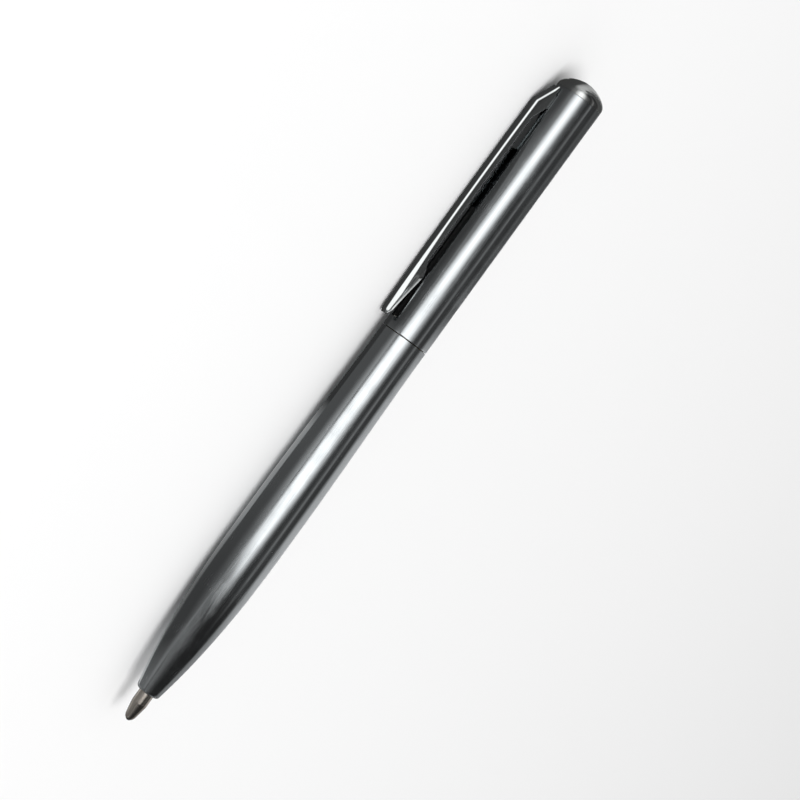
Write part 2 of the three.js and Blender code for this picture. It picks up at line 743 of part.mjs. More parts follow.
// Lying at rest: the pen rolls about its axis until the rounded edge of the clip, at its
// proudest place, is as low as the belly
const edgeUp = BARREL_RADIUS + CLIP_PROUD - CLIP_EDGE_ROUND;
const edgeOut = CLIP_WIDTH / 2 - CLIP_EDGE_ROUND;
const edgeLean = Math.atan2(edgeOut, edgeUp);
const roll = edgeLean + Math.acos((BELLY_RADIUS - CLIP_EDGE_ROUND) / Math.hypot(edgeUp, edgeOut));
pen.rotation.set(Math.PI / 2 - roll, 0, Math.PI);

// Origin under the middle of the pen, on the ground
const lying = group(pen);
lying.updateMatrixWorld(true);
const box = new THREE.Box3().setFromObject(lying, true);
const middle = box.getCenter(new THREE.Vector3());
pen.position.set(-middle.x, -middle.y, -box.min.z);

export default lying;
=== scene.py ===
import logging
from dataclasses import dataclass, field
from enum import Enum
from typing import Any, Optional, Sequence

import bmesh
import bpy
import numpy as np
from mathutils import Matrix, Vector


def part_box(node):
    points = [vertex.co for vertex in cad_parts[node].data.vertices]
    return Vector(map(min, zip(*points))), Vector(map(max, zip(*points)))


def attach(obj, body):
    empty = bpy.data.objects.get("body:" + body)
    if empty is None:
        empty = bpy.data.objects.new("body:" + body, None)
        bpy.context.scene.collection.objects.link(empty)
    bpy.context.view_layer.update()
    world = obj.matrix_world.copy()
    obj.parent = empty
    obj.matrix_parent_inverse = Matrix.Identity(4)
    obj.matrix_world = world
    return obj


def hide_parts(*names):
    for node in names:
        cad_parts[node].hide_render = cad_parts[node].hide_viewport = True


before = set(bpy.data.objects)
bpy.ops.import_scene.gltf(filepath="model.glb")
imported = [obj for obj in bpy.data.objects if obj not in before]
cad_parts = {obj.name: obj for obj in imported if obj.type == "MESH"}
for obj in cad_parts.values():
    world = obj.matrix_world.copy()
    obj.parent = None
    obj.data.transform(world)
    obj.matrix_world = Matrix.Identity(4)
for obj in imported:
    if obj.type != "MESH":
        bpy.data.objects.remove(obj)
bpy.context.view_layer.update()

logging.basicConfig(level=logging.INFO, format="%(message)s")
log = logging.getLogger("pen")

MM = 0.001
Table = tuple[tuple[float, float], ...]


def linear(hex_colour: str) -> tuple[float, float, float, float]:
    """Turn an sRGB hex colour to the linear values that a shader takes.

    Args:
        hex_colour: Six hex digits, such as "8a8f90".

    Returns:
        Red, green, blue and an alpha of one.
    """
    share = np.array([int(hex_colour[i:i + 2], 16) / 255 for i in (0, 2, 4)])
    value = np.where(share <= 0.04045, share / 12.92, ((share + 0.055) / 1.055) ** 2.4)
    return (float(value[0]), float(value[1]), float(value[2]), 1.0)


def add_node(tree: bpy.types.NodeTree, kind: str, settings: Optional[dict[str, Any]] = None,
             links: Optional[dict[Any, Any]] = None, **values: Any) -> bpy.types.Node:
    """Add one node with its settings, its input values and its incoming links.

    Args:
        tree: The node tree that gets the node.
        kind: The node's type name.
        settings: Properties of the node itself.
        links: Input name or number to the output socket that feeds it.
        values: Input name, with underscores for spaces, to its value.

    Returns:
        The new node.
    """
    node = tree.nodes.new(kind)
    for name, value in (settings or {}).items():
        setattr(node, name, value)
    for name, value in values.items():
        node.inputs[name.replace("_", " ")].default_value = value
    for name, source in (links or {}).items():
        tree.links.new(source, node.inputs[name])
    return node


class Direction(Enum):
    """The way that fine tool or polishing marks run on a surface."""

    LENGTHWISE = "along the pen"
    AROUND = "round the pen"
    NONE = "no marks"


@dataclass(frozen=True)
class Metal:
    """A bare or plated metal with fine marks in its gloss and its relief.

    Attributes:
        name: The real material and how its surface was made.
        colour: The metal's colour face on, as sRGB hex.
        roughness: Roughness between the marks.
        marks: Which way the marks run.
        spacing: Distance between marks, in mm.
        depth: Depth of the relief of the marks, in mm.
        unevenness: How much the roughness changes from mark to mark.
        haze: How much a slow cloudiness, as from handling, adds to the roughness.
        mark_length: Length of a mark along the pen, in spacings.
        cloud_scale: Scale of the cloudiness, per metre; a cloud is about 4 mm.
    """

    name: str
    colour: str
    roughness: float
    marks: Direction
    spacing: float
    depth: float
    unevenness: float
    haze: float = 0.0
    mark_length: float = 60.0
    cloud_scale: float = 260.0

    def make(self) -> bpy.types.Material:
        """Build the material: noise stretched along the marks drives roughness and bump.

        A mark round the pen is a quarter as long as one along it.

        Returns:
            The material.
        """
        material, tree, shader = blank_material(
            self.name, Base_Color=linear(self.colour), Metallic=1.0, Roughness=self.roughness)
        place = pen_coordinates(tree)
        across = 1.0 / (self.spacing * MM)
        along = across / self.mark_length
        scaled = add_node(tree, "ShaderNodeVectorMath", {"operation": "MULTIPLY"}, {0: place})
        scaled.inputs[1].default_value = {
            Direction.LENGTHWISE: (along, across, across),
            Direction.AROUND: (across, along * 4, along * 4),
            Direction.NONE: (across, across, across),
        }[self.marks]
        marks = add_node(tree, "ShaderNodeTexNoise", None, {"Vector": scaled.outputs[0]},
                         Scale=1.0, Detail=3.0, Roughness=0.6)
        cloud = add_node(tree, "ShaderNodeTexNoise", None, {"Vector": place},
                         Scale=self.cloud_scale, Detail=4.0)
        fine = add_node(tree, "ShaderNodeMapRange", None, {"Value": marks.outputs["Fac"]},
                        From_Min=0.3, From_Max=0.7, To_Min=self.roughness - self.unevenness,
                        To_Max=self.roughness + self.unevenness)
        slow = add_node(tree, "ShaderNodeMapRange", None, {"Value": cloud.outputs["Fac"]},
                        From_Min=0.45, From_Max=0.75, To_Min=0.0, To_Max=self.haze)
        both = add_node(tree, "ShaderNodeMath", {"operation": "ADD", "use_clamp": True},
                        {0: fine.outputs[0], 1: slow.outputs[0]})
        dress_shader(tree, shader, both.outputs[0], marks, self.depth)
        return material


@dataclass(frozen=True)
class Plastic:
    """A moulded plastic or rubber with a fine grain.

    Attributes:
        name: The real material and how it was made.
        colour: Its colour, as sRGB hex.
        shade: A second, slightly different colour that clouds it.
        roughness: Its roughness.
        grain: Size of the grain, in mm.
        depth: Depth of the grain, in mm.
        coat: Weight of a clear glossy film over it.
        spread: How far the grain takes the roughness up and down.
        cloud_scale: Scale of the clouding, per metre; a cloud is about 2 mm.
    """

    name: str
    colour: str
    shade: str
    roughness: float
    grain: float
    depth: float
    coat: float = 0.0
    spread: float = 0.08
    cloud_scale: float = 500.0

    def make(self) -> bpy.types.Material:
        """Build the material: noise at the grain's size drives colour, roughness and bump.

        Returns:
            The material.
        """
        material, tree, shader = blank_material(
            self.name, Roughness=self.roughness, Coat_Weight=self.coat)
        place = pen_coordinates(tree)
        grain = add_node(tree, "ShaderNodeTexNoise", None, {"Vector": place},
                         Scale=1.0 / (self.grain * MM), Detail=4.0, Roughness=0.55)
        cloud = add_node(tree, "ShaderNodeTexNoise", None, {"Vector": place},
                         Scale=self.cloud_scale, Detail=2.0)
        # Sockets 6 and 7 are the two colours that the node mixes
        tint = add_node(tree, "ShaderNodeMix", {"data_type": "RGBA"}, {0: cloud.outputs["Fac"]})
        for socket, colour in ((6, self.colour), (7, self.shade)):
            tint.inputs[socket].default_value = linear(colour)
        tree.links.new(tint.outputs[2], shader.inputs["Base Color"])
        sheen = add_node(tree, "ShaderNodeMapRange", None, {"Value": grain.outputs["Fac"]},
                         To_Min=self.roughness - self.spread, To_Max=self.roughness + self.spread)
        dress_shader(tree, shader, sheen.outputs[0], grain, self.depth)
        return material


def blank_material(name: str, **values: Any) -> tuple[bpy.types.Material, bpy.types.NodeTree,
                                                      bpy.types.Node]:
    """Make an empty material with one surface shader.

    Args:
        name: The material's name.
        values: The shader's input names, with underscores for spaces, to their values.

    Returns:
        The material, its node tree and its surface shader.
    """
    material = bpy.data.materials.new(name)
    material.use_nodes = True
    tree = material.node_tree
    tree.nodes.clear()
    shader = add_node(tree, "ShaderNodeBsdfPrincipled", **values)
    add_node(tree, "ShaderNodeOutputMaterial", None, {"Surface": shader.outputs[0]})
    return material, tree, shader


def dress_shader(tree: bpy.types.NodeTree, shader: bpy.types.Node,
                 roughness: bpy.types.NodeSocket, noise: bpy.types.Node, depth: float) -> None:
    """Give a shader its roughness, and a bump that has a noise as its height.

    Args:
        tree: The node tree.
        shader: The surface shader.
        roughness: The socket that carries the roughness.
        noise: The noise node.
        depth: Depth of the relief, in mm.
    """
    bump = add_node(tree, "ShaderNodeBump", None, {"Height": noise.outputs["Fac"]},
                    Strength=1.0, Distance=depth * MM)
    tree.links.new(roughness, shader.inputs["Roughness"])
    tree.links.new(bump.outputs["Normal"], shader.inputs["Normal"])


def pen_coordinates(tree: bpy.types.NodeTree) -> bpy.types.NodeSocket:
    """Give Object coordinates centred on the pen's axis, in metres.

    Args:
        tree: The node tree that reads them.

    Returns:
        The socket that carries the coordinates.
    """
    texture = add_node(tree, "ShaderNodeTexCoord")
    mapping = add_node(tree, "ShaderNodeMapping", {"vector_type": "POINT"},
                       {"Vector": texture.outputs["Object"]},
                       Location=(0.0, -PEN.axis_y * MM, -PEN.axis_z * MM))
    return mapping.outputs["Vector"]


@dataclass(frozen=True)
class PenFrame:
    """The pen's own axes in the shared frame; all lengths in mm.

    The pen's x runs from the nose face to the crown, its y towards the clip and its z across
    the clip. In the shared frame the crown points to -X.

    Attributes:
        nose_x: World X of the nose face.
        axis_y: World Y of the pen's axis.
        axis_z: World Z of the pen's axis.
        clip_y: World Y of the unit vector towards the clip.
        clip_z: World Z of the same vector.
    """

    nose_x: float = 51.261
    axis_y: float = 0.5577
    axis_z: float = 4.15
    clip_y: float = -0.80815
    clip_z: float = -0.58898

    def world(self, points: np.ndarray) -> np.ndarray:
        """Move points from the pen's axes to the shared frame.

        The point is the axis point at its x, plus y times the clip's direction, plus z times
        the direction across the clip.

        Args:
            points: Rows of x, y, z in mm.

        Returns:
            Rows of world coordinates in metres.
        """
        x, y, z = points[..., 0], points[..., 1], points[..., 2]
        return stacked(self.nose_x - x, self.axis_y + y * self.clip_y + z * self.clip_z,
                       self.axis_z + y * self.clip_z - z * self.clip_y) * MM


PEN = PenFrame()


def stacked(*parts: Any) -> np.ndarray:
    """Stack coordinates into an array of points; a single number is used for all of them."""
    return np.stack(np.broadcast_arrays(*parts), axis=-1)


def quads_of(rows: int, columns: int, wrap: bool = False) -> np.ndarray:
    """List the quads of a grid of points.

    Quad (i, j) joins points (i, j), (i, j+1), (i+1, j+1) and (i+1, j).

    Args:
        rows: Number of rows.
        columns: Number of columns.
        wrap: Join the last column to the first.

    Returns:
        Four point numbers for each quad.
    """
    index = np.arange(rows * columns).reshape(rows, columns)
    left = index if wrap else index[:, :-1]
    right = np.roll(index, -1, axis=1) if wrap else index[:, 1:]
    return stacked(left[:-1], right[:-1], right[1:], left[1:]).reshape(-1, 4)


def scene_object(name: str, data: bpy.types.ID) -> bpy.types.Object:
    """Make an object and put it into the scene.

    Args:
        name: The object's name.
        data: Its mesh, lamp or camera.

    Returns:
        The object.
    """
    made = bpy.data.objects.new(name, data)
    bpy.context.scene.collection.objects.link(made)
    return made


def mesh_object(name: str, points: np.ndarray, quads: np.ndarray) -> bpy.types.Object:
    """Make a mesh object and put it into the scene.

    Args:
        name: The name of the object and its mesh.
        points: The points in metres, in any array whose last axis is x, y, z.
        quads: Four point numbers for each face.

    Returns:
        The object.
    """
    mesh = bpy.data.meshes.new(name)
    mesh.from_pydata(points.reshape(-1, 3).tolist(), [], quads.tolist())
    return scene_object(name, mesh)


class Surface:
    """Rows of points and quads gathered into one mesh."""

    def __init__(self) -> None:
        """Start with no points and no faces."""
        self.points: list[np.ndarray] = []
        self.faces: list[np.ndarray] = []
        self.count = 0

    def grid(self, points: np.ndarray, flip: bool = False, wrap: bool = False) -> None:
        """Add a grid of points as quads.

        Args:
            points: Array of rows by columns by x, y, z.
            flip: Turn the faces the other way.
            wrap: Join the last column to the first.
        """
        rows, columns = points.shape[:2]
        quads = quads_of(rows, columns, wrap) + self.count
        self.points.append(points.reshape(-1, 3))
        self.faces.append(quads[:, ::-1] if flip else quads)
        self.count += rows * columns

    def build(self, name: str, finish: Metal | Plastic, merge: float = 0.0005,
              sharp: float = 35.0) -> bpy.types.Object:
        """Make the mesh object: doubles merged, faces outward, sharp edges by angle.

        Args:
            name: The piece's name.
            finish: The finish to wear.
            merge: Distance within which points become one, in mm.
            sharp: Angle above which an edge stays sharp, in degrees.

        Returns:
            The object, at the origin, with its place in its mesh.
        """
        points = PEN.world(np.concatenate(self.points))
        piece = mesh_object(name, points, np.concatenate(self.faces))
        mesh = piece.data
        work = bmesh.new()
        work.from_mesh(mesh)
        bmesh.ops.remove_doubles(work, verts=work.verts, dist=merge * MM)
        bmesh.ops.dissolve_degenerate(work, edges=work.edges, dist=merge * MM * 0.2)
        bmesh.ops.recalc_face_normals(work, faces=work.faces)
        limit = np.radians(sharp)
        for edge in work.edges:
            edge.smooth = not (len(edge.link_faces) == 2 and edge.calc_face_angle(0.0) > limit)
        for face in work.faces:
            face.smooth = True
        work.to_mesh(mesh)
        open_edges = sum(1 for edge in work.edges if len(edge.link_faces) != 2)
        work.free()
        mesh.update()
        mesh.materials.append(finish.make())
        log.info("%s: %d faces, %d open edges", name, len(mesh.polygons), open_edges)
        return piece


def revolved(profile: Sequence[tuple[float, float]], sides: int) -> np.ndarray:
    """Turn a profile about the pen's axis.

    The point at profile place i and angle a is (x_i, r_i cos a, r_i sin a).

    Args:
        profile: Points of x and radius in mm, listed once round the section.
        sides: Number of steps round the axis.

    Returns:
        A grid of profile points by sides.
    """
    rows = np.asarray(profile, dtype=float)
    angle = np.arange(sides) / sides * 2 * np.pi
    return stacked(rows[:, :1], rows[:, 1:] * np.cos(angle), rows[:, 1:] * np.sin(angle))


def turned(name: str, profile: Sequence[tuple[float, float]], finish: Metal | Plastic,
           sides: int = 160, sharp: float = 35.0, flip: bool = False) -> bpy.types.Object:
    """Make a piece by turning a closed profile about the pen's axis.

    Args:
        name: The piece's name.
        profile: Points of x and radius in mm, listed once round the section.
        finish: The finish to wear.
        sides: Number of steps round the axis.
        sharp: Angle above which an edge stays sharp, in degrees.
        flip: Turn the faces the other way.

    Returns:
        The piece.
    """
    surface = Surface()
    surface.grid(revolved(profile, sides), wrap=True, flip=flip)
    return surface.build(name, finish, sharp=sharp)


def rounded(corners: Sequence[tuple[float, float, float]],
            steps: int = 5) -> list[tuple[float, float]]:
    """Round the corners of an open profile.

    At each corner with a radius the two legs are cut back by that much, but by less than half
    of a leg, and a quadratic curve with the corner as its middle control point joins the cuts.

    Args:
        corners: Points of x, radius and cut-back in mm.
        steps: Number of steps along each rounded corner.

    Returns:
        The profile's points.
    """
    points = np.asarray([corner[:2] for corner in corners], dtype=float)
    made: list[tuple[float, float]] = []
    last = len(points) - 1
    share = np.linspace(0, 1, steps + 1)[:, None]
    for i, (x, radius, back) in enumerate(corners):
        if back <= 0 or i in (0, last):
            made.append((x, radius))
            continue
        cuts = []
        for leg in (points[i - 1] - points[i], points[i + 1] - points[i]):
            length = np.linalg.norm(leg)
            cuts.append(points[i] + leg / length * min(back, length * 0.49))
        curve = ((1 - share) ** 2 * cuts[0] + 2 * share * (1 - share) * points[i]
                 + share ** 2 * cuts[1])
        made.extend((float(a), float(b)) for a, b in curve)
    return made


# Chrome plate on a drawn and polished brass tube: a mirror with faint lines along the pen
CHROME = Metal("chrome_plate_on_drawn_brass", "c1c5c7", 0.14, Direction.LENGTHWISE,
               0.17, 0.0007, 0.07, 0.12)
# Chrome plate on a spun dome: rings round the crown instead of lines along it
CHROME_SPUN = Metal("chrome_plate_on_spun_cap", "c4c6c5", 0.14, Direction.AROUND,
                    0.10, 0.0002, 0.03, 0.04)
# Plated spring steel sheet, folded: a little duller than the tube, with rolling lines
CLIP_STEEL = Metal("plated_spring_steel_sheet", "bcbfbf", 0.15, Direction.LENGTHWISE,
                   0.12, 0.0005, 0.05, 0.08)
# Turned nickel silver: warm grey, with the lathe's rings
NICKEL_SILVER = Metal("turned_nickel_silver", "d9d1c8", 0.22, Direction.AROUND,
                      0.05, 0.00012, 0.05)
# Ground tungsten carbide: dark, nearly a mirror
CARBIDE = Metal("ground_tungsten_carbide", "8d8f90", 0.12, Direction.NONE, 0.03, 0.0002, 0.03)
# Drawn brass refill tube: yellow, with drawing lines
REFILL_BRASS = Metal("drawn_brass_tube", "d8b878", 0.24, Direction.LENGTHWISE,
                     0.08, 0.0005, 0.05, 0.08)
# Turned brass: yellow with rings
TURNED_BRASS = Metal("turned_brass", "d5b26d", 0.25, Direction.AROUND, 0.06, 0.0008, 0.06, 0.05)
# Ground steel pin: grey, fine even marks
PIN_STEEL = Metal("ground_steel_pin", "b4b6b8", 0.2, Direction.NONE, 0.05, 0.0003, 0.05)
# Pressed spring steel washer: darker grey
SPRING_STEEL = Metal("pressed_spring_steel", "a3a5a8", 0.3, Direction.AROUND, 0.08, 0.0004, 0.06)
# Moulded black acetal: satin, close to black
BLACK_ACETAL = Plastic("moulded_black_acetal", "121314", "1a1b1d", 0.42, 0.06, 0.0015)
# The same plastic, duller, and darker than it is as painted shade in the tube that the slot shows:
# the slot reads as a black hole
JACKET_ACETAL_PAINTED_SHADE = Plastic("moulded_black_acetal_painted_shade", "060607", "0a0a0b", 0.65, 0.08, 0.002)
# Moulded white acetal: waxy off-white
WHITE_ACETAL = Plastic("moulded_white_acetal", "e4e1d8", "dbd7cb", 0.38, 0.06, 0.0012)
# Nitrile rubber: dull black with a fine tooth
RING_RUBBER = Plastic("moulded_nitrile_rubber", "17181a", "202123", 0.62, 0.05, 0.003)
# Paste ink: nearly black blue with a wet film
INK = Plastic("dark_blue_paste_ink", "0b1536", "0d1a44", 0.2, 0.2, 0.0005, 0.8)


@dataclass
class LowerBarrel:
    """The tapered lower half: a power curve from the nose to the belly, then half a cosine.

    Attributes:
        length: Length from the nose face to the seam.
        nose_radius: Radius where the taper starts.
        nose_round: Radius of the rounded nose edge.
        taper_length: Length of the taper.
        taper_power: Power of the taper's curve.
        belly_radius: Largest radius.
        belly_length: Length of the even belly.
        barrel_radius: Radius at the seam.
        wall: Thickness of the drawn tube.
        wall_start: Where the even wall starts behind the nose.
        mouth_depth: Depth of the even bore at the seam.
        mouth_run: Length over which the even bore meets the wall's inside.
        chamfer: Size of the seam's broken edge.
        bore_chamfer: Size of the bore's broken edge at the seam.
        nose_bore: Radius of the bore that guides the refill point.
        nose_bore_end: Where that bore ends.
    """

    length: float = 62.5
    nose_radius: float = 1.78
    nose_round: float = 0.6
    taper_length: float = 28.0
    taper_power: float = 2.45
    belly_radius: float = 4.15
    belly_length: float = 3.0
    barrel_radius: float = 3.8
    wall: float = 0.45
    wall_start: float = 2.9
    mouth_depth: float = 14.0
    mouth_run: float = 1.0
    chamfer: float = 0.06
    bore_chamfer: float = 0.04
    nose_bore: float = 1.25
    nose_bore_end: float = 0.9

    def radius(self, x: np.ndarray) -> np.ndarray:
        """Work out the outer radius along the barrel.

        Up to the taper's end it is belly - (belly - nose) (1 - x / taper) ** power. Past the
        belly it falls by half a cosine wave to the radius at the seam.

        Args:
            x: Places along the barrel in mm.

        Returns:
            The radii in mm.
        """
        taper = np.clip(1 - x / self.taper_length, 0, 1) ** self.taper_power
        front = self.belly_radius - (self.belly_radius - self.nose_radius) * taper
        start = self.taper_length + self.belly_length
        share = np.clip((x - start) / (self.length - start), 0, 1)
        return front - (self.belly_radius - self.barrel_radius) * (1 - np.cos(np.pi * share)) / 2

    def build(self) -> bpy.types.Object:
        """Build the barrel as one closed turned shell, with a rounded nose and a broken seam edge.

        Returns:
            The piece.
        """
        angle = np.linspace(0, np.pi / 2, 13)
        rim = float(self.radius(np.array(self.nose_round))) - self.nose_bore
        nose = stacked(self.nose_round * (1 - np.cos(angle)), self.nose_bore + rim * np.sin(angle))
        x = np.concatenate([
            np.linspace(self.nose_round, self.taper_length, 56)[1:],
            np.linspace(self.taper_length, self.length - self.chamfer, 50)[1:],
        ])
        outside = stacked(x, self.radius(x))
        bore = self.barrel_radius - self.wall
        mouth = self.length - self.mouth_depth
        seam = rounded([
            (x[-1], float(outside[-1, 1]), 0), (self.length, self.barrel_radius, self.chamfer),
            (self.length, bore, self.bore_chamfer), (mouth, bore, 0),
        ])[1:]
        inner_x = np.linspace(mouth - self.mouth_run, self.wall_start, 30)
        inside = stacked(inner_x, self.radius(inner_x) - self.wall)
        profile = np.concatenate([nose, outside, seam, inside,
                                  [[self.nose_bore_end, self.nose_bore]], nose[:1]])
        piece = turned("lower_barrel_turned", profile, CHROME)
        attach(piece, "lower_half")
        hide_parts("lower_barrel")
        return piece


@dataclass
class UpperBarrel:
    """The straight upper tube with the long slot under the clip and the window for its legs.

    Round the holes the tube is drawn flat: u runs along the pen and z across it, with z = 0
    under the clip. Holes are loops in that flat sheet, which is then laid onto the tube.

    Attributes:
        start: Where the tube starts.
        end: Where the tube ends.
        radius: Outer radius.
        wall: Thickness.
        slot_start: Where the slot starts.
        slot_length: Length of the slot.
        slot_width: Width of the slot.
        slot_corner: Radius of the slot's corners.
        window_start: Where the window starts.
        window_end: Where the window ends.
        window_width: Width of the window.
        window_corner: Radius of the window's corners.
        edge: Size of the broken edges of the holes.
        chamfer: Size of the broken edge at the seam.
        crown_chamfer: Size of the broken edge under the crown.
        bore_chamfer: Size of the broken edges at both ends of the bore.
        half_patch: Half the width of the strip that holds the slot and the window.
        slot_border: Length of the patch beyond each end of the slot.
        window_border: Length of the patch beyond each end of the window.
        steps: Steps along the five stretches: plain, slot, plain, window, plain.
        across: Steps across the strip.
        rings: Rings of points between a hole and the border of its patch.
    """

    start: float = 62.58
    end: float = 104.78
    radius: float = 3.8
    wall: float = 0.42
    slot_start: float = 64.3
    slot_length: float = 29.3
    slot_width: float = 2.0
    slot_corner: float = 0.3
    window_start: float = 100.58
    window_end: float = 103.28
    window_width: float = 2.1
    window_corner: float = 0.2
    edge: float = 0.09
    chamfer: float = 0.06
    crown_chamfer: float = 0.04
    bore_chamfer: float = 0.02
    half_patch: float = 1.75
    slot_border: float = 0.9
    window_border: float = 0.55
    steps: tuple[int, ...] = (4, 108, 12, 24, 3)
    across: int = 18
    rings: int = 9

    def build(self) -> bpy.types.Object:
        """Build the tube: two hole patches, plain strips between, the way round, the ends.

        Returns:
            The piece.
        """
        surface = Surface()
        slot_end = self.slot_start + self.slot_length
        x = [self.start + self.chamfer, self.slot_start - self.slot_border,
             slot_end + self.slot_border, self.window_start - self.window_border,
             self.window_end + self.window_border, self.end - self.crown_chamfer]
        self.hole(surface, self.slot_start, slot_end, self.slot_width, self.slot_corner,
                  (x[1], x[2]), self.steps[1])
        self.hole(surface, self.window_start, self.window_end, self.window_width,
                  self.window_corner, (x[3], x[4]), self.steps[3])
        skins = ((self.radius, False), (self.radius - self.wall, True))
        z = np.linspace(-self.half_patch, self.half_patch, self.across + 1)
        for i in (0, 2, 4):
            along = np.linspace(x[i], x[i + 1], self.steps[i] + 1)
            flat = stacked(*np.meshgrid(along, z, indexing="ij"))
            for radius, flip in skins:
                surface.grid(self._lift(flat, radius), flip=flip)
        samples = np.concatenate([
            np.linspace(x[i], x[i + 1], self.steps[i], endpoint=False) for i in range(5)
        ] + [[x[5]]])
        for radius, flip in skins:
            u, a = np.meshgrid(samples, self._angles(radius), indexing="ij")
            surface.grid(stacked(u, radius * np.cos(a), radius * np.sin(a)), flip=flip)
        self._ends(surface, z)
        piece = surface.build("upper_barrel_slotted", CHROME, merge=0.002)
        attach(piece, "upper_half")
        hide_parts("upper_barrel")
        return piece

    def hole(self, surface: Surface, x0: float, x1: float, width: float, corner: float,
             border: tuple[float, float], steps: int) -> None:
        """Add the sheet round one hole, the hole's broken edges and its cut walls.

        A rounded rectangle runs inside a plain one with the same number of points on each
        side. Point k at share s between them is inner_k (1 - s) + outer_k s. The across
        distance z is kept through the wall, so the cut walls are parallel: at radius r the
        height is the root of r squared less z squared.

        Args:
            surface: Where the grids go.
            x0: Where the hole starts.
            x1: Where the hole ends.
            width: Width of the hole.
            corner: Radius of the hole's corners.
            border: Start and end of the plain rectangle round the hole.
            steps: Steps along a long side.
        """
        bore = self.radius - self.wall
        outer = self._box(*border, self.half_patch, steps, self.across)
        inner = self._rounded_box(x0, x1, width / 2, corner, steps, self.across)
        away = inner - stacked(np.clip(inner[:, 0], x0 + corner, x1 - corner), 0.0)
        away /= np.maximum(np.linalg.norm(away, axis=1, keepdims=True), 1e-9)
        share = (np.linspace(0.0, 1.0, self.rings) ** 1.4)[:, None, None]
        flat = (inner + away * self.edge)[None] * (1 - share) + outer[None] * share
        surface.grid(self._lift(flat, self.radius), wrap=True, flip=True)
        surface.grid(self._lift(flat, bore), wrap=True)
        turn = np.linspace(0, np.pi / 2, 4)[:, None, None]
        lip = inner[None] + away[None] * self.edge * (1 - np.sin(turn))
        fall = self.edge * (1 - np.cos(turn[..., 0]))
        surface.grid(self._lift(lip, self.radius - fall), wrap=True)
        surface.grid(np.concatenate([self._lift(inner[None], self.radius - self.edge),
                                     self._lift(inner[None], bore + self.edge)]), wrap=True)
        surface.grid(self._lift(lip[::-1], bore + fall[::-1]), wrap=True)

    @staticmethod
    def _lift(flat: np.ndarray, radius: Any) -> np.ndarray:
        """Lay flat points of u and z onto a tube of a radius: y is the root of r² - z²."""
        return stacked(flat[..., 0], np.sqrt(radius ** 2 - flat[..., 1] ** 2), flat[..., 1])

    @staticmethod
    def _box(x0: float, x1: float, half: float, along: int, across: int) -> np.ndarray:
        """Walk once round a rectangle, with even steps on each side.

        Args:
            x0: Where the rectangle starts.
            x1: Where it ends.
            half: Half its width.
            along: Steps on each long side.
            across: Steps on each short side.

        Returns:
            Rows of u and z.
        """
        a = np.linspace(0, 1, along, endpoint=False)
        b = np.linspace(0, 1, across, endpoint=False)
        return np.concatenate([
            stacked(x0 + (x1 - x0) * a, -half), stacked(x1, -half + 2 * half * b),
            stacked(x1 - (x1 - x0) * a, half), stacked(x0, half - 2 * half * b),
        ])

    @staticmethod
    def _rounded_box(x0: float, x1: float, half: float, corner: float, along: int,
                     across: int) -> np.ndarray:
        """Walk once round a rounded rectangle, with the corners' middles at the sides' ends.

        Args:
            x0: Where the rectangle starts.
            x1: Where it ends.
            half: Half its width.
            corner: Radius of its corners.
            along: Steps on each long side.
            across: Steps on each short side.

        Returns:
            Rows of u and z.
        """
        turn = max(2, across // 3)
        quarter = np.pi / 4
        arc = np.linspace(0, quarter, turn + 1)

        def side(start: np.ndarray, end: np.ndarray, first: float, steps: int) -> np.ndarray:
            """Walk half a corner, a straight, and half a corner.

            Args:
                start: Middle of the first corner's circle.
                end: Middle of the second corner's circle.
                first: Angle at which the walk starts.
                steps: Steps along the straight.

            Returns:
                Rows of u and z, without the last point.
            """
            before = start + corner * stacked(np.cos(first + arc), np.sin(first + arc))
            angle = first + quarter + arc
            after = end + corner * stacked(np.cos(angle), np.sin(angle))
            share = np.linspace(0, 1, steps + 1)[1:-1, None]
            return np.concatenate([before, before[-1] * (1 - share) + after[0] * share, after[:-1]])

        low, high = (x0 + corner, -half + corner), (x1 - corner, half - corner)
        marks = np.array([low, (high[0], low[1]), high, (low[0], high[1])])
        steps = (along - 2 * turn, across - 2 * turn)
        return np.concatenate([
            side(marks[i], marks[(i + 1) % 4], (2 * i - 3) * quarter, steps[i % 2])
            for i in range(4)
        ])

    def _angles(self, radius: float) -> np.ndarray:
        """Angles of the way round from the strip's one edge to its other, at a radius."""
        edge = np.arcsin(self.half_patch / radius)
        return np.linspace(edge, 2 * np.pi - edge, 133)

    def _ends(self, surface: Surface, z: np.ndarray) -> None:
        """Add both end faces: a broken outer edge, then flat to the bore's broken edge.

        Row k of an end is the same walk round the tube at the radius and place of profile
        point k. The walk is the strip's z steps and then the rest of the angles.

        Args:
            surface: Where the grids go.
            z: The strip's steps across.
        """
        bore = self.radius - self.wall
        turn = np.linspace(0, np.pi / 2, 4)
        for end, side, edge in ((self.start, 1.0, self.chamfer),
                                (self.end, -1.0, self.crown_chamfer)):
            profile = [*stacked(end + side * edge * (1 - np.sin(turn)),
                                self.radius - edge * (1 - np.cos(turn))),
                       (end, bore + self.bore_chamfer), (end + side * self.bore_chamfer, bore),
                       (end + side * edge, bore)]
            rows = []
            for u, radius in profile:
                angle = self._angles(radius)[1:-1]
                rows.append(np.concatenate([
                    stacked(u, np.sqrt(radius ** 2 - z ** 2), z),
                    stacked(u, radius * np.cos(angle), radius * np.sin(angle)),
                ]))
            surface.grid(np.stack(rows), wrap=True)


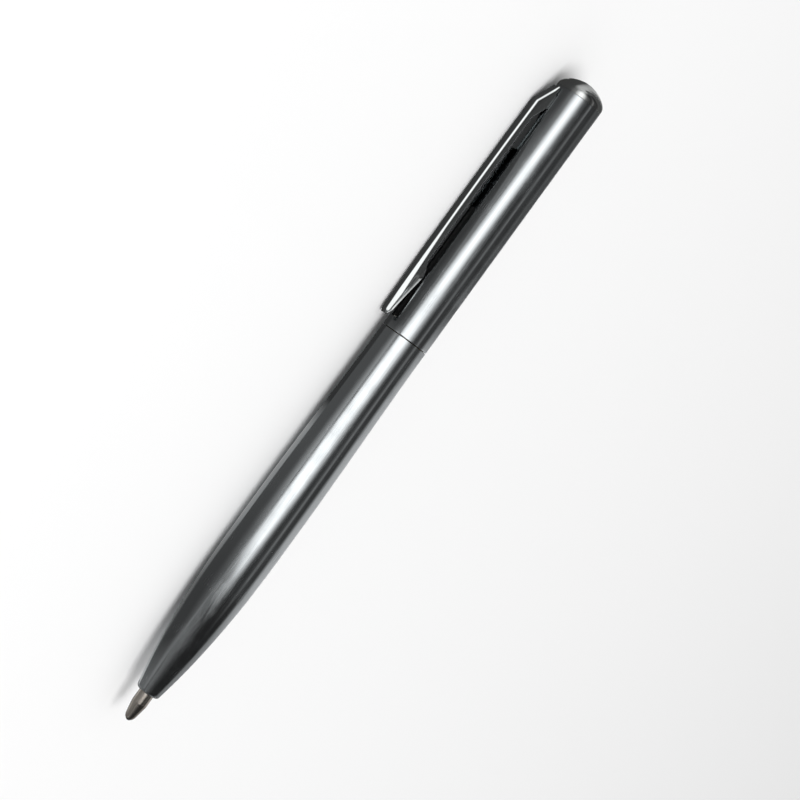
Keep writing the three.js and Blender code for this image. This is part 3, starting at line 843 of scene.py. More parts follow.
@dataclass
class CrownCap:
    """The domed crown: r = R (1 - t²) ** power up to a small flat, with a skirt inside the tube.

    Attributes:
        seat: Where the cap sits on the tube.
        radius: Radius at its foot.
        straight: Straight part before the dome.
        rise: Rise that the dome's curve would reach.
        flat: Radius of the flat on top.
        power: Power of the dome's curve.
        wall: Thickness.
        skirt: Outer radius of the skirt.
        skirt_wall: Thickness of the skirt.
        skirt_end: Where the skirt ends.
        skirt_round: Size of the skirt's rounded edge.
        chamfer: Size of the broken edge at the seat.
        hollow_share: Share of the dome's curve that the hollow follows before its flat top.
    """

    seat: float = 104.81
    radius: float = 3.8
    straight: float = 0.32
    rise: float = 2.28
    flat: float = 0.9
    power: float = 0.65
    wall: float = 0.45
    skirt: float = 3.34
    skirt_wall: float = 0.4
    skirt_end: float = 104.13
    skirt_round: float = 0.08
    chamfer: float = 0.02
    hollow_share: float = 0.97

    def build(self) -> bpy.types.Object:
        """Build the cap as one closed turned shell.

        Returns:
            The piece.
        """
        top_share = np.sqrt(1 - (self.flat / self.radius) ** (1 / self.power))
        dome_x = self.seat + self.straight
        share = top_share * np.sin(np.linspace(0, np.pi / 2, 33))
        dome = stacked(dome_x + self.rise * share, self.radius * (1 - share ** 2) ** self.power)
        top = dome_x + self.rise * top_share
        disc = stacked(top, self.flat * np.linspace(1, 0, 7)[1:])
        inner = self.skirt - self.skirt_wall
        inner_top = top - self.wall
        share = np.linspace(self.hollow_share, 0, 14)
        hollow = stacked(self.seat + (inner_top - self.seat) * share,
                         inner * (1 - share ** 2) ** self.power)
        foot = rounded([
            (self.skirt_end, inner, 0), (self.skirt_end, self.skirt, self.skirt_round),
            (self.seat, self.skirt, 0), (self.seat, self.radius, self.chamfer),
            (dome_x, self.radius, 0),
        ])
        profile = np.concatenate([[[inner_top, 0]], hollow, foot, dome[1:], disc])
        piece = turned("crown_cap_spun", profile, CHROME_SPUN, flip=True)
        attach(piece, "upper_half")
        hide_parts("crown_cap")
        return piece


@dataclass
class Clip:
    """The spring clip: sheet folded to a channel, with a bump on its free end and hooked legs.

    Attributes:
        width: Width over the side walls.
        sheet: Thickness of the sheet.
        start: Where the free end starts.
        end: Where the heel ends.
        bend: Length of the slope at the heel.
        side_depth: Depth of the side walls.
        radius: Radius of the tube that it lies on.
        proud: Height of its outer face above the tube at its highest.
        bow: How much the outer face is bowed.
        peak: Share of its length where it is highest.
        seat_gap: Air under its seats.
        toe_in: Length of the drawn-in free end.
        toe_narrow: Share by which the free end narrows.
        toe_drop: How far the outer face falls at the free end.
        toe_rise: How much the walls' edge rises over the drawn-in end.
        front_rise: How much higher the walls' edge lies behind the free end.
        bump_at: Distance of the bump from the free end.
        bump_run: Length of the bump's rear slope.
        bump_flat: Length of the bump's flat.
        leg_start: Where the legs start.
        leg_end: Where the legs end.
        leg_share: Share of the sheet's thickness that a leg takes.
        leg_bevel: Size of the legs' bevels.
        toe_length: Length of the hooked toes.
        toe_top: Height of the toes' upper face.
        toe_bottom: Height of the toes' lower face.
        facet_across: Width that the facet on each upper edge takes from the outer face.
        facet_down: Height that it takes from the side wall.
        facet_soft: Run of the curve at each end of the facet.
        facet_growth: How much wider the facet gets towards the free end, as a share.
        facet_growth_length: Length over which it gets wider.
        facet_most: Most of the wall's height that the facet and its curves may take.
        cut_edge: Radius of the walls' cut edges.
        foot: How far the walls are drawn in above their foot ahead of the bump.
        foot_height: Height of that part.
        skin: Least thickness between the roof and the walls' edge where the channel is closed.
    """

    width: float = 1.8
    sheet: float = 0.35
    start: float = 63.8
    end: float = 104.33
    bend: float = 3.45
    side_depth: float = 1.05
    radius: float = 3.8
    proud: float = 2.2
    bow: float = 0.34
    peak: float = 0.65
    seat_gap: float = 0.06
    toe_in: float = 0.95
    toe_narrow: float = 0.2
    toe_drop: float = 0.3
    toe_rise: float = 0.5
    front_rise: float = 0.12
    bump_at: float = 7.3
    bump_run: float = 2.2
    bump_flat: float = 0.5
    leg_start: float = 100.73
    leg_end: float = 103.13
    leg_share: float = 0.98
    leg_bevel: float = 0.05
    toe_length: float = 0.8
    toe_top: float = 3.138
    toe_bottom: float = 2.688
    facet_across: float = 0.2
    facet_down: float = 0.34
    facet_soft: float = 0.12
    facet_growth: float = 1.35
    facet_growth_length: float = 15.0
    facet_most: float = 0.62
    cut_edge: float = 0.04
    foot: float = 0.12
    foot_height: float = 0.3
    skin: float = 0.02

    @property
    def bump_rear(self) -> float:
        """Where the bump's rear slope starts."""
        return self.start + self.bump_at + self.bump_flat / 2

    def top(self, x: np.ndarray) -> np.ndarray:
        """Height of the outer face: a bowed line up to the bend, then a straight slope.

        Args:
            x: Places along the pen.

        Returns:
            Heights above the pen's axis.
        """
        bend = self.end - self.bend
        share = (np.minimum(x, bend) - self.start) / (bend - self.start)
        bowed = self.radius + self.proud - self.bow * ((share - self.peak) / self.peak) ** 2
        down = np.clip((x - bend) / self.bend, 0, 1)
        heel = self.radius + self.seat_gap + self.sheet
        return bowed * (1 - down) + heel * down

    def bottom(self, x: np.ndarray) -> np.ndarray:
        """Height of the side walls' lower edge, through its corner points in turn.

        The edge is drawn in at the free end, comes down to the tube at the bump, runs a fixed
        depth under the outer face and comes down to the tube again at the legs.

        Args:
            x: Places along the pen.

        Returns:
            Heights above the pen's axis.
        """
        seat = self.radius + self.seat_gap
        rear = self.bump_rear
        front = rear - self.bump_flat
        plain = self.top(np.minimum(x, self.end - self.bend)) - self.side_depth
        toe = self.start + self.toe_in
        share = np.clip((x - toe) / (front - toe), 0, 1)
        raised = plain + self.front_rise + self.toe_rise * np.clip((toe - x) / self.toe_in, 0, 1)
        early = raised * (1 - share) + seat * share
        back = np.clip((x - rear) / self.bump_run, 0, 1)
        middle = seat * (1 - back) + plain * back
        slope = self.leg_start - self.bump_run
        down = np.clip((x - slope) / self.bump_run, 0, 1)
        late = plain * (1 - down) + seat * down
        return np.where(x < front, early, np.where(x < slope, middle, late))

    def stations(self) -> np.ndarray:
        """Choose the places of the sections: even, and closer together at the edge's corners.

        Returns:
            Places along the pen, in order and at least 0.03 mm apart.
        """
        rear = self.bump_rear
        corners = np.array([
            self.start + self.toe_in, rear - self.bump_flat, rear, rear + self.bump_run,
            self.leg_start - self.bump_run, self.leg_start, self.end - self.bend, self.leg_end,
        ])
        close = (corners[:, None] + [-0.2, -0.08, 0.0, 0.08, 0.2]).ravel()
        both = np.sort(np.concatenate([np.linspace(self.start, self.end, 110), close]))
        both = both[(both >= self.start) & (both <= self.end)]
        return both[np.concatenate([[True], np.diff(both) > 0.03])]

    def section(self, x: np.ndarray, hollow: np.ndarray) -> np.ndarray:
        """Work out the closed channel section at each place.

        From the middle of the outer face the outline runs over the facet, whose two ends are
        quadratic curves, down the side wall, which is drawn in above its foot ahead of the
        bump, round the wall's cut edge and up the inside to the channel's roof, and the other
        side mirrors it. Where the channel is closed its roof is drawn down to the walls' edge.

        Args:
            x: Places along the pen.
            hollow: One where the channel is open, zero where it is closed.

        Returns:
            A grid of places by outline points by x, y, z.
        """
        cut = self.cut_edge
        bottom = self.bottom(x)[:, None]
        near_toe = np.clip(1 - (x - self.start) / self.toe_in, 0, 1)[:, None]
        half = self.width / 2 * (1 - self.toe_narrow * near_toe ** 2)
        inner = half - self.sheet
        top = self.top(x)[:, None] - self.toe_drop * near_toe ** 2
        roof = np.where(hollow[:, None] > 0.5, top - self.sheet, bottom + self.skin)
        roof = np.maximum(roof, bottom + self.skin)
        growth = np.clip(1 - (x - self.start) / self.facet_growth_length, 0, 1)[:, None]
        size = 1 + self.facet_growth * growth
        across, fall = self.facet_across * size, self.facet_down * size
        fit = np.minimum(1.0, (top - bottom) * self.facet_most / (fall + self.facet_soft))
        across, fall, soft = across * fit, fall * fit, self.facet_soft * fit
        slope = np.hypot(across, fall)
        wall_top = top - fall - soft
        knee = np.minimum(bottom + cut + self.foot_height, wall_top * 0.6 + (bottom + cut) * 0.4)
        ease = np.minimum(0.02, (wall_top - knee) * 0.3)
        bump = self.start + self.bump_at
        ahead = np.interp(x, [self.start + 0.3, self.start + 1.2, bump - 0.6, bump], [0.3, 1, 1, 0])
        draw = self.foot * ahead[:, None] * np.array([[0.5, 1.0, 0.95, 0.05]])
        t = np.linspace(0, 1, 6)[None]
        first, last = (1 - t) ** 2, t ** 2
        turn = np.linspace(0, np.pi / 2, 4)[None]
        rise = np.linspace(0, 1, 4)[None, 1:]
        outline = np.concatenate([
            stacked(np.linspace(0, 1, 4)[None, :-1] * (half - across - soft), top),
            stacked(half - across - soft * first + last * soft * across / slope,
                    top - last * soft * fall / slope),
            stacked(half - first * soft * across / slope,
                    top - fall + first * soft * fall / slope - last * soft),
            stacked(half - draw, np.concatenate(
                [(wall_top + knee) / 2, knee + ease, knee - ease, bottom + cut + 0.015], 1)),
            stacked(half - cut + cut * np.cos(turn), bottom + cut - cut * np.sin(turn)),
            stacked(inner + cut - cut * np.sin(turn), bottom + cut - cut * np.cos(turn)),
            stacked(inner, np.maximum((bottom + cut) * (1 - rise) + roof * rise, bottom + 0.01)),
            stacked(np.linspace(1, 0, 3)[None, 1:] * inner, roof),
        ], axis=1)
        outline = np.concatenate([outline, outline[:, -2:0:-1] * [-1, 1]], axis=1)
        return stacked(x[:, None], outline[..., 1], outline[..., 0])

    def build(self) -> bpy.types.Object:
        """Build the clip: the swept channel with closed ends, and the two hooked legs.

        Returns:
            The piece.
        """
        low = self.start + self.toe_in + self.sheet
        high = self.end - 2 * self.sheet
        x = np.sort(np.concatenate([self.stations(), [low - 0.01, low, high, high + 0.01]]))
        grid = self.section(x, ((x >= low - 1e-6) & (x <= high + 1e-6)).astype(float))
        surface = Surface()
        surface.grid(grid, wrap=True)
        for row, flip in ((grid[0], True), (grid[-1], False)):
            middle = row.copy()
            middle[:, 1] = (row[:, 1].max() + row[:, 1].min()) / 2
            middle[:, 2] = 0
            surface.grid(np.stack([row, middle]), wrap=True, flip=flip)
        for side in (-1, 1):
            self._leg(surface, side)
        piece = surface.build("clip_folded", CLIP_STEEL, merge=0.001, sharp=42.0)
        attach(piece, "clip")
        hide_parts("clip")
        return piece

    def _leg(self, surface: Surface, side: int) -> None:
        """Add one leg: a plate with bevelled edges, hooked towards the crown under the tube.

        The outline is drawn in the clip's plane and given the sheet's thickness. Each of its
        two faces is drawn in by the bevel, and covered by an upright and an elbow.

        Args:
            surface: Where the grids go.
            side: Which side of the clip, -1 or 1.
        """
        seat = self.radius + self.sheet
        hook = self.leg_end + self.toe_length
        ends = np.array([
            [self.leg_start, seat], [self.leg_start, self.toe_bottom], [hook, self.toe_bottom],
            [hook, self.toe_top], [self.leg_end, self.toe_top], [self.leg_end, seat],
        ])
        centre = np.array([(self.leg_start + self.leg_end) / 2, (seat + self.toe_bottom) / 2])
        inward = np.sign(centre - ends) * self.leg_bevel
        inward[3:5] = -self.leg_bevel
        middle = side * (self.width - self.sheet) / 2
        half = self.sheet / 2 * self.leg_share
        rows = []
        for z, drawn in ((-half, 1.0), (-half + self.leg_bevel, 0.0), (half - self.leg_bevel, 0.0),
                         (half, 1.0)):
            flat = ends + inward * drawn
            rows.append(stacked(flat[:, 0], flat[:, 1], middle + z))
        surface.grid(np.stack(rows), wrap=True, flip=True)
        for row, flip in ((rows[0], False), (rows[-1], True)):
            for quad in np.array([[[0, 1], [5, 4]], [[1, 2], [4, 3]]]):
                surface.grid(row[quad], flip=flip)


@dataclass
class Refill:
    """The metal refill: its turned point with the ball, its tube and the ink in it.

    Attributes:
        start: The front of the ball.
        ball: Radius of the ball.
        ball_out: How far the ball stands out of its lip.
        ball_play: Play between the ball and its socket.
        radius: Radius of the tube.
        lip: Thickness of the lip round the ball.
        crimp: Length of the crimp behind the lip.
        crimp_radius: Radius at the crimp's end.
        cone: Length from the ball's front to the end of the cone.
        collar: Length from the ball's front to the end of the point's collar.
        shank: Length of the shank inside the tube.
        feed: Radius of the ink's way to the ball.
        play: Play between the shank and the tube, and between the collar and the tube's end.
        wall: Thickness of the tube.
        length: Length of the whole refill.
    """

    start: float = -4.76
    ball: float = 0.5
    ball_out: float = 0.33
    ball_play: float = 0.05
    radius: float = 1.175
    lip: float = 0.075
    crimp: float = 0.45
    crimp_radius: float = 0.79
    cone: float = 2.9
    collar: float = 7.5
    shank: float = 3.0
    feed: float = 0.3
    play: tuple[float, float] = (0.04, 0.05)
    wall: float = 0.225
    length: float = 67.0

    def build(self) -> list[bpy.types.Object]:
        """Build the point, the ball and the tube.

        Returns:
            The pieces.
        """
        return [self._point(), self._ball(), self._tube()]

    def _point(self) -> bpy.types.Object:
        """Build the point: lip, crimp, cone, shoulder, collar and shank, with the ball's socket.

        Returns:
            The piece.
        """
        ball_x = self.start + self.ball
        socket = self.ball + self.ball_play
        lip_angle = np.arccos((self.ball - self.ball_out) / self.ball)
        lip_x = ball_x - socket * np.cos(lip_angle)
        lip_radius = socket * np.sin(lip_angle)
        collar_x = self.start + self.collar
        shank_radius = self.radius - self.wall - self.play[0]
        outside = rounded([
            (lip_x, lip_radius, 0), (lip_x, lip_radius + self.lip, 0.03),
            (lip_x + self.crimp, self.crimp_radius, 0.12),
            (self.start + self.cone, self.radius, 0.10), (collar_x, self.radius, 0.05),
            (collar_x, shank_radius, 0), (collar_x + self.shank, shank_radius, 0.05),
            (collar_x + self.shank, self.feed, 0),
        ], steps=6)
        angle = np.linspace(np.pi - np.arcsin(self.feed / socket), lip_angle, 12)[:-1]
        cup = stacked(ball_x - socket * np.cos(angle), socket * np.sin(angle))
        profile = np.concatenate([outside, cup, outside[:1]])
        piece = turned("refill_point_turned", profile, NICKEL_SILVER, sides=96, sharp=30.0)
        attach(piece, "refill")
        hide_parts("refill_point")
        return piece

    def _ball(self) -> bpy.types.Object:
        """Build the ball as a revolved half circle with its poles merged.

        Returns:
            The piece.
        """
        angle = np.linspace(0, np.pi, 41)
        profile = stacked(self.start + self.ball - self.ball * np.cos(angle),
                          self.ball * np.sin(angle))
        piece = turned("writing_ball_ground", profile, CARBIDE, sides=64)
        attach(piece, "ball")
        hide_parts("writing_ball")
        return piece

    def _tube(self) -> bpy.types.Object:
        """Build the drawn tube, open at its rear, with broken edges.

        Returns:
            The piece.
        """
        front = self.start + self.collar + self.play[1]
        rear = self.start + self.length
        bore = self.radius - self.wall
        profile = rounded([
            (front + 1.0, bore, 0), (front, bore, 0.04), (front, self.radius, 0.05),
            (rear, self.radius, 0.05), (rear, bore, 0.04), (front + 1.0, bore, 0),
        ])
        piece = turned("refill_tube_drawn", profile, REFILL_BRASS, sides=96)
        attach(piece, "refill")
        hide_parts("refill_tube")
        return piece


@dataclass
class Mechanism:
    """The collar with its two rubber rings, and the inner pieces that keep their CAD shape.

    Attributes:
        seam: Where the two halves meet.
        front_radius: Radius of the collar inside the lower barrel.
        rear_radius: Radius of the collar inside the upper barrel.
        bore: Radius of the collar's bore.
        lip_bore: Radius of the bore at the lip.
        lip_length: Length of the lip.
        front_length: Length of the collar ahead of the seam.
        rear_length: Length of the collar behind the seam.
        step: Length of the step from the front radius to the rear one.
        shoulder: Distance of the bore's shoulder ahead of the seam.
        ring: Radius of a rubber ring's section.
        groove_under: Play between a ring and the bottom of its groove.
        groove_beside: Play between a ring and each side of its groove.
        insets: Distances of the rings ahead of the seam.
        kept: Each inner node that keeps its CAD shape, and its finish.
    """

    seam: float = 62.5
    front_radius: float = 3.3
    rear_radius: float = 3.28
    bore: float = 2.34
    lip_bore: float = 1.89
    lip_length: float = 0.6
    front_length: float = 9.5
    rear_length: float = 1.5
    step: float = 0.08
    shoulder: float = 6.0
    ring: float = 0.25
    groove_under: float = 0.02
    groove_beside: float = 0.04
    insets: tuple[float, float] = (8.0, 3.0)
    kept: dict[str, Metal | Plastic] = field(default_factory=lambda: {
        "ink_column": INK, "refill_carrier": BLACK_ACETAL, "carrier_pin": PIN_STEEL,
        "guide_tube": TURNED_BRASS, "mechanism_end_cap": TURNED_BRASS,
        # mechanism_jacket wears the black acetal darker than it is: painted shade inside the slot
        "mechanism_jacket": JACKET_ACETAL_PAINTED_SHADE, "thrust_washer": WHITE_ACETAL,
        "cam_sleeve": WHITE_ACETAL, "friction_washer": SPRING_STEEL, "crown_plug": BLACK_ACETAL,
    })

    def build(self) -> list[bpy.types.Object]:
        """Build the collar and its rings.

        Returns:
            The pieces.
        """
        rings = zip(self.insets, ("grip_ring_front", "grip_ring_rear"))
        return [self._collar()] + [self._ring(inset, node) for inset, node in rings]

    def _collar(self) -> bpy.types.Object:
        """Build the turned collar: two ring grooves, a step at the seam and a shouldered bore.

        Returns:
            The piece.
        """
        front = self.seam - self.front_length
        rear = self.seam + self.rear_length
        shoulder = self.seam - self.shoulder
        lip = shoulder - self.lip_length
        inside = front + 0.3
        groove = self.front_radius - 2 * self.ring - self.groove_under
        half = self.ring + self.groove_beside
        corners = [(inside, self.bore, 0), (front, self.bore, 0.05),
                   (front, self.front_radius, 0.12)]
        for inset in self.insets:
            middle = self.seam - inset
            corners += [(middle - half, self.front_radius, 0.03), (middle - half, groove, 0.03),
                        (middle + half, groove, 0.03), (middle + half, self.front_radius, 0.03)]
        corners += [(self.seam, self.front_radius, 0.02),
                    (self.seam + self.step, self.rear_radius, 0.02),
                    (rear, self.rear_radius, 0.06), (rear, self.bore, 0.04),
                    (shoulder, self.bore, 0.03), (shoulder, self.lip_bore, 0.03),
                    (lip, self.lip_bore, 0.03), (lip, self.bore, 0.03), (inside, self.bore, 0)]
        piece = turned("barrel_collar_turned", rounded(corners, 4), TURNED_BRASS, sides=128)
        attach(piece, "mechanism")
        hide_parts("barrel_collar")
        return piece

    def _ring(self, inset: float, node: str) -> bpy.types.Object:
        """Build a rubber ring: a circle carried round the collar's groove.

        Args:
            inset: Distance of the ring ahead of the seam.
            node: The CAD node that it replaces, which gives its outer radius.

        Returns:
            The piece.
        """
        low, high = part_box(node)
        outer = (high[2] - low[2]) / 2 / MM
        angle = np.linspace(0, -2 * np.pi, 25)
        profile = stacked(self.seam - inset + self.ring * np.cos(angle),
                          outer - self.ring + self.ring * np.sin(angle))
        piece = turned(f"{node}_moulded", profile, RING_RUBBER, sides=128)
        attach(piece, "mechanism")
        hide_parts(node)
        return piece

    def dress(self) -> None:
        """Give each inner piece that keeps its CAD shape its finish."""
        made: dict[str, bpy.types.Material] = {}
        for node, finish in self.kept.items():
            if finish.name not in made:
                made[finish.name] = finish.make()
            piece = bpy.data.objects[node]
            piece.data.materials.clear()
            piece.data.materials.append(made[finish.name])
            log.info("%s wears %s", node, finish.name)


def read(table: Table, at: np.ndarray) -> np.ndarray:
    """Read a table of places and levels, with straight lines from row to row.

    Args:
        table: Rows of place and level.
        at: The places to read it at.

    Returns:
        The levels there.
    """
    place, level = np.transpose(table)
    return np.interp(at, place, level)


@dataclass
class Studio:
    """A pale floor, a pale room, one soft lamp and the cards that the chrome mirrors.

    Attributes:
        floor_colour: Colour of the floor.
        floor_radius: Radius of the floor, in m.
        room: Radiance of the room.
        lamp_power: Power of the lamp, in watts.
        lamp_size: Diameter of the lamp, in m.
        lamp_place: Place of the lamp, in m.
        arch_radius: Radius of the arch over the pen, in m.
        card_height: Height of the cards over the floor, in mm; beyond the ends it is twice that.
        arch: Angle round the pen in degrees, and the arch's radiance there.
        narrow: The same angle, and the share of the radiance that the upper tube sees.
        lit: Tilt from the pen's middle in degrees, and the share of the arch's radiance there.
        dark: Angle round the pen, and the radiance past the arch's ends.
        ground: Distance from the pen towards the camera in mm, and the card's radiance there: a
            painted darker floor for the chrome to mirror.
        nose_pool: Distance from the nose in mm, and the card's radiance there: a painted reflection
            of a floor darker than the real one.
        crown_pool: The same beyond the crown, on the camera's side.
        crown_back: The same straight beyond the crown.
        crown_side: The same on the far side, which the dome's right edge mirrors.
    """

    floor_colour: str = "f5f5f5"
    floor_radius: float = 3.0
    room: float = 0.62
    lamp_power: float = 7.0
    lamp_size: float = 0.7
    lamp_place: tuple[float, float, float] = (0.15, -0.55, 0.95)
    arch_radius: float = 0.6
    card_height: float = 0.15
    arch: Table = (
        (-16, 0.30), (-8, 0.62), (0, 1.2), (7, 2.0), (41, 2.0), (47, 1.3), (55, 0.7), (63, 0.13),
        (72, 0.05), (83, 0.08), (88, 0.2), (91, 0.32), (94, 0.2), (99, 0.06), (117, 0.06),
        (125, 0.3), (134, 0.62), (180, 0.62),
    )
    narrow: Table = (
        (-16, 1.0), (-6, 0.6), (7, 0.5), (18, 1.0), (28, 1.0), (36, 0.7), (47, 0.3), (58, 0.15),
        (66, 0.8), (112, 1.0), (122, 0.25), (150, 0.16), (180, 0.22),
    )
    lit: Table = (
        (-72, 0.3), (-60, 0.45), (-45, 0.65), (-34, 1), (6, 1), (8.5, 0.6), (11.5, 0.12), (16, 0.0),
    )
    dark: Table = (
        (-16, 0.12), (6, 0.20), (20, 0.16), (34, 0.08), (60, 0.025), (122, 0.025), (132, 0.3),
    )
    ground: Table = (
        (0.0, 0.12), (7.0, 0.11), (9.0, 0.13), (12.0, 0.17), (19.0, 0.22), (37.0, 0.27),
        (60.0, 0.3),
    )
    nose_pool: Table = ((0.2, 0.17), (12.0, 0.17), (40.0, 0.12), (300.0, 0.12))
    crown_pool: Table = ((0.2, 0.06), (9.0, 0.08), (18.0, 0.2), (40.0, 0.28), (300.0, 0.32))
    crown_back: Table = ((0.2, 0.06), (8.5, 0.08), (11.0, 0.45), (20.0, 0.7), (300.0, 0.7))
    crown_side: Table = (
        (0.2, 0.06), (8.5, 0.08), (11.0, 0.4), (20.0, 0.6), (45.0, 0.4), (80.0, 0.15),
        (300.0, 0.12),
    )

    def build(self) -> None:
        """Build the floor, the room, the lamp and the cards."""
        self._floor()
        self._room()
        self._lamp()
        self._arch()
        self._ground()
        self._back()
        self._pool("nose_card", 57.2, 1.0, {0: self.nose_pool})
        self._pool("crown_card", -56.4, -1.0, {
            -60: self.crown_pool, -20: self.crown_back, 18: self.crown_back, 36: self.crown_side,
        })
        self._ends()

    def _floor(self) -> None:
        """A pale round floor: rings of points, closer together near the pen."""
        sides = 64
        radius = np.concatenate([[0.0], np.geomspace(0.05, self.floor_radius, 20)])[:, None]
        angle = np.arange(sides) / sides * 2 * np.pi
        quads = quads_of(radius.size, sides, wrap=True)[:, [0, 3, 2, 1]]
        points = stacked(radius * np.cos(angle), radius * np.sin(angle), 0.0)
        floor = mesh_object("floor", points, quads)
        material = blank_material("pale_paper_floor", Base_Color=linear(self.floor_colour),
                                  Roughness=0.9, Specular_IOR_Level=0.1)[0]
        floor.data.materials.append(material)

    def _room(self) -> None:
        """An even pale room all round."""
        world = bpy.data.worlds.new("pale_room")
        bpy.context.scene.world = world
        world.use_nodes = True
        back = world.node_tree.nodes["Background"]
        back.inputs["Color"].default_value = (1.0, 1.0, 1.0, 1.0)
        back.inputs["Strength"].default_value = self.room

    def _lamp(self) -> None:
        """One large soft lamp, ahead of and above the pen, that mirrors don't see."""
        data = bpy.data.lights.new("key_lamp", "AREA")
        data.shape = "DISK"
        data.size = self.lamp_size
        data.energy = self.lamp_power
        lamp = scene_object("key_lamp", data)
        lamp.location = self.lamp_place
        lamp.rotation_euler = (-lamp.location).to_track_quat("-Z", "Y").to_euler()
        lamp.visible_glossy = False

    @staticmethod
    def _card(name: str, grid: np.ndarray, glow: np.ndarray) -> None:
        """Make a glossy-only card from a grid with a radiance at each point.

        Args:
            name: The card's name.
            grid: Rows by columns by x, y, z in metres.
            glow: Rows by columns of radiance.
        """
        card = mesh_object(name, grid, quads_of(*grid.shape[:2]))
        attribute = card.data.attributes.new("glow", "FLOAT", "POINT")
        attribute.data.foreach_set("value", glow.ravel().astype(np.float32))
        material = bpy.data.materials.new(name)
        material.use_nodes = True
        tree = material.node_tree
        tree.nodes.clear()
        value = add_node(tree, "ShaderNodeAttribute", {"attribute_name": "glow"})
        light = add_node(tree, "ShaderNodeEmission", None, {"Strength": value.outputs["Fac"]})
        add_node(tree, "ShaderNodeOutputMaterial", None, {"Surface": light.outputs[0]})
        card.data.materials.append(material)
        card.visible_camera = False
        card.visible_diffuse = False
        card.visible_shadow = False
        card.visible_transmission = False

    def _arch(self) -> None:
        """The arch over the pen: radiance by the angle round the pen, less past the pen's ends.

        The point at angle a and place s is (s, y0 - R cos a, z0 + R sin a). Its radiance is
        that of its angle, with the arch's upper edge lower towards the nose, and narrowed for
        the upper tube. It goes by the lit share to the dark level as its tilt from the pen's
        middle passes the arch's ends, which lie further out for a greater angle.
        """
        degrees = np.linspace(self.arch[0][0], self.arch[-1][0], 240)
        tilt = np.concatenate([np.linspace(-70, -4, 66), np.linspace(-3.6, 20, 60),
                               np.linspace(21, 70, 50)])
        d, t = np.meshgrid(degrees, tilt, indexing="ij")
        a = np.radians(d)
        grid = stacked(self.arch_radius * np.tan(np.radians(t)),
                       PEN.axis_y * MM - self.arch_radius * np.cos(a),
                       PEN.axis_z * MM + self.arch_radius * np.sin(a))
        lower = np.interp(t, [2, 6, 13], [0.8, -5.0, -11.0]) * np.interp(d, [20, 38, 66, 72],
                                                                         [0, 1, 1, 0])
        level = read(self.arch, d - lower)
        level *= 1 - np.interp(t, [-3.2, -2.2], [1, 0]) * (1 - read(self.narrow, d))
        lit = read(self.lit, t - np.interp(d, [-16, 0, 50], [-7, -4, 3.5]))
        dark = np.minimum(level, read(self.dark, d))
        self._card("arch_card", grid, dark * (1 - lit) + level * lit)

    def _ground(self) -> None:
        """A glossy-only card that the chrome mirrors in the floor's place near the pen: painted
        shade, dark close by, pale further off.

        It starts under the pen. Up to the edge near the pen its radiance is painted shade under the
        pen, and past it a painted darker floor by its distance, times a share that goes by the
        place along the pen and rises further off beside the belly.
        """
        along = np.concatenate([np.linspace(-260, -61, 40), np.linspace(-60, 60, 241),
                                np.linspace(61, 260, 40)])[:, None]
        near = np.interp(along, [23.0, 38.0, 50.0, 58.0], [2.9, 2.1, 0.95, 0.85])
        under = np.interp(along, [2.0, 7.0, 22.0, 34.0], [0.05, 0.42, 0.4, 0.2])
        start = np.interp(along, [50.0, 58.0], [0.8, 0.3])
        step = np.concatenate([np.linspace(0.0, 1.0, 6), 1.0 + np.geomspace(0.02, 640.0, 80)])[None]
        y = np.where(step <= 1.0, start + (near - start) * step, near + step - 1.0)
        share = np.interp(along, [-13, -11, 8, 34, 44, 53], [0.6, 1, 1, 0.6, 0.6, 1.9])
        share = np.where(share > 1, 1 + (share - 1) * np.interp(y, [10.0, 22.0], [1.0, 0.0]), share)
        far = np.interp(along, [-13.0, -11.5, 14.0, 24.0, 33.0], [0.0, 1.8, 1.8, 0.5, 0.0])
        share = share * (1 + far * np.interp(y, [8.0, 14.0, 50.0], [0.0, 0.45, 1.0]))
        # The glow: painted shade under the pen, then a painted darker floor for the chrome to
        # mirror
        glow = np.where(step <= 1.0, under, read(self.ground, y) * share)
        self._card("ground_card", stacked(along, -y, self.card_height) * MM, glow)

    def _back(self) -> None:
        """A card that the chrome mirrors in the floor's place on the far side of the nose: painted
        shade, dark close by, paler towards the belly.
        """
        x, y = np.meshgrid([51.0, 53.0, 57.2], [0.1, 1.0, 9.0, 12.0], indexing="ij")
        # Painted shade: the far-side floor darker than it is, as the chrome sees it
        glow = np.interp(y, [9.0, 12.0], [0.1, 0.3]) + (x < 53.0) * 0.25
        self._card("back_card", stacked(x, y, self.card_height) * MM, glow)

    def _pool(self, name: str, centre: float, side: float, levels: dict[int, Table]) -> None:
        """A half disc just over the floor beyond one end of the pen, which the chrome mirrors in
        the floor's place: a painted reflection of a darker floor.

        The point at distance d and angle a from the end is (centre + side d cos a, d sin a).
        Its radiance goes by d, from tables that blend from one angle to the next.

        Args:
            name: The card's name.
            centre: Place of the pen's end, in mm.
            side: Which way the half disc lies, 1 or -1.
            levels: Angle to its table of distances in mm and radiances.
        """
        away = np.geomspace(0.2, 300.0, 40)
        degrees = np.linspace(-88 if side > 0 else -150, 88, 60)
        d, a = np.meshgrid(away, np.radians(degrees), indexing="ij")
        grid = stacked(centre + side * d * np.cos(a), d * np.sin(a), 2 * self.card_height) * MM
        marks = list(levels)
        glow = np.zeros(d.shape)
        for i, table in enumerate(levels.values()):
            # Painted reflection: a floor darker than the real one, for the chrome to mirror
            glow += np.interp(np.degrees(a), marks, np.eye(len(marks))[i]) * read(table, d)
        self._card(name, grid, glow)

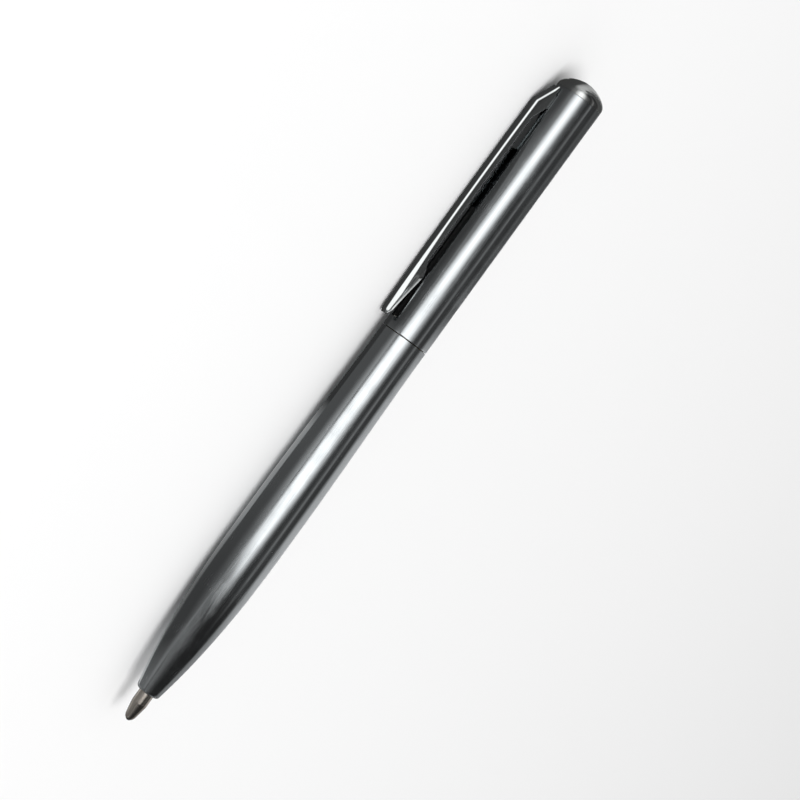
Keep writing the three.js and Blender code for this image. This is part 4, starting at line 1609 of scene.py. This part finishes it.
    def _ends(self) -> None:
        """Two half discs that stand beyond the nose and the crown and close the arch.

        Each has one radiance low on the camera's side, and another higher up and behind.
        """
        away = np.linspace(0.0, self.arch_radius, 12)
        d, a = np.meshgrid(away, np.radians(np.linspace(0, 180, 37)), indexing="ij")
        for name, place, low, high in (("nose_end_card", 1.5, 0.08, 0.08),
                                       ("crown_end_card", -1.5, 0.8, 0.15)):
            glow = np.interp(np.degrees(a), [0, 55, 75], [low, low, high])
            self._card(name, stacked(place, -d * np.cos(a), d * np.sin(a)), glow)


@dataclass
class PhotoCamera:
    """The camera at the photo's angle.

    Attributes:
        elevation: Height of the camera above the floor's plane, in degrees.
        distance: Distance from the aim point, in mm.
        half_width: Half the frame's width at the pen, in mm.
        aim: The aim point, in mm.
        right_pen: How much of the image's right points to the nose.
        right_side: How much of the image's right points across the pen.
    """

    elevation: float = 23.9
    distance: float = 400.0
    half_width: float = 57.15
    aim: tuple[float, float, float] = (-3.84, 2.45, 8.42)
    right_pen: float = -0.58818585
    right_side: float = 0.80872579

    def build(self) -> None:
        """Place the camera: its right and up lie in the plane that holds the pen."""
        tilt = np.radians(self.elevation)
        back = Vector((0.0, -float(np.cos(tilt)), float(np.sin(tilt))))
        side = Vector((0.0, float(np.sin(tilt)), float(np.cos(tilt))))
        pen = Vector((1.0, 0.0, 0.0))
        right = pen * self.right_pen + side * self.right_side
        up = -pen * self.right_side - side * abs(self.right_pen)
        place = Vector(self.aim) * MM + back * self.distance * MM
        data = bpy.data.cameras.new("photo_camera")
        data.sensor_fit = "HORIZONTAL"
        data.angle = 2 * float(np.arctan(self.half_width / self.distance))
        data.clip_start = 0.01
        data.clip_end = 20.0
        camera = scene_object("photo_camera", data)
        camera.matrix_world = Matrix((
            (right.x, up.x, back.x, place.x), (right.y, up.y, back.y, place.y),
            (right.z, up.z, back.z, place.z), (0.0, 0.0, 0.0, 1.0),
        ))
        log.info("camera axes: right x up . back = %.3f", right.cross(up).dot(back))
        bpy.context.scene.camera = camera


def main() -> None:
    """Build the pen's pieces in order, then the studio and the camera."""
    mechanism = Mechanism()
    pieces = [LowerBarrel().build(), UpperBarrel().build(), CrownCap().build(), Clip().build(),
              *Refill().build(), *mechanism.build()]
    log.info("made %d pieces: %s", len(pieces), ", ".join(piece.name for piece in pieces))
    mechanism.dress()
    Studio().build()
    PhotoCamera().build()
    view = bpy.context.scene.view_settings
    view.view_transform = "Standard"


if __name__ == "__main__":
    main()
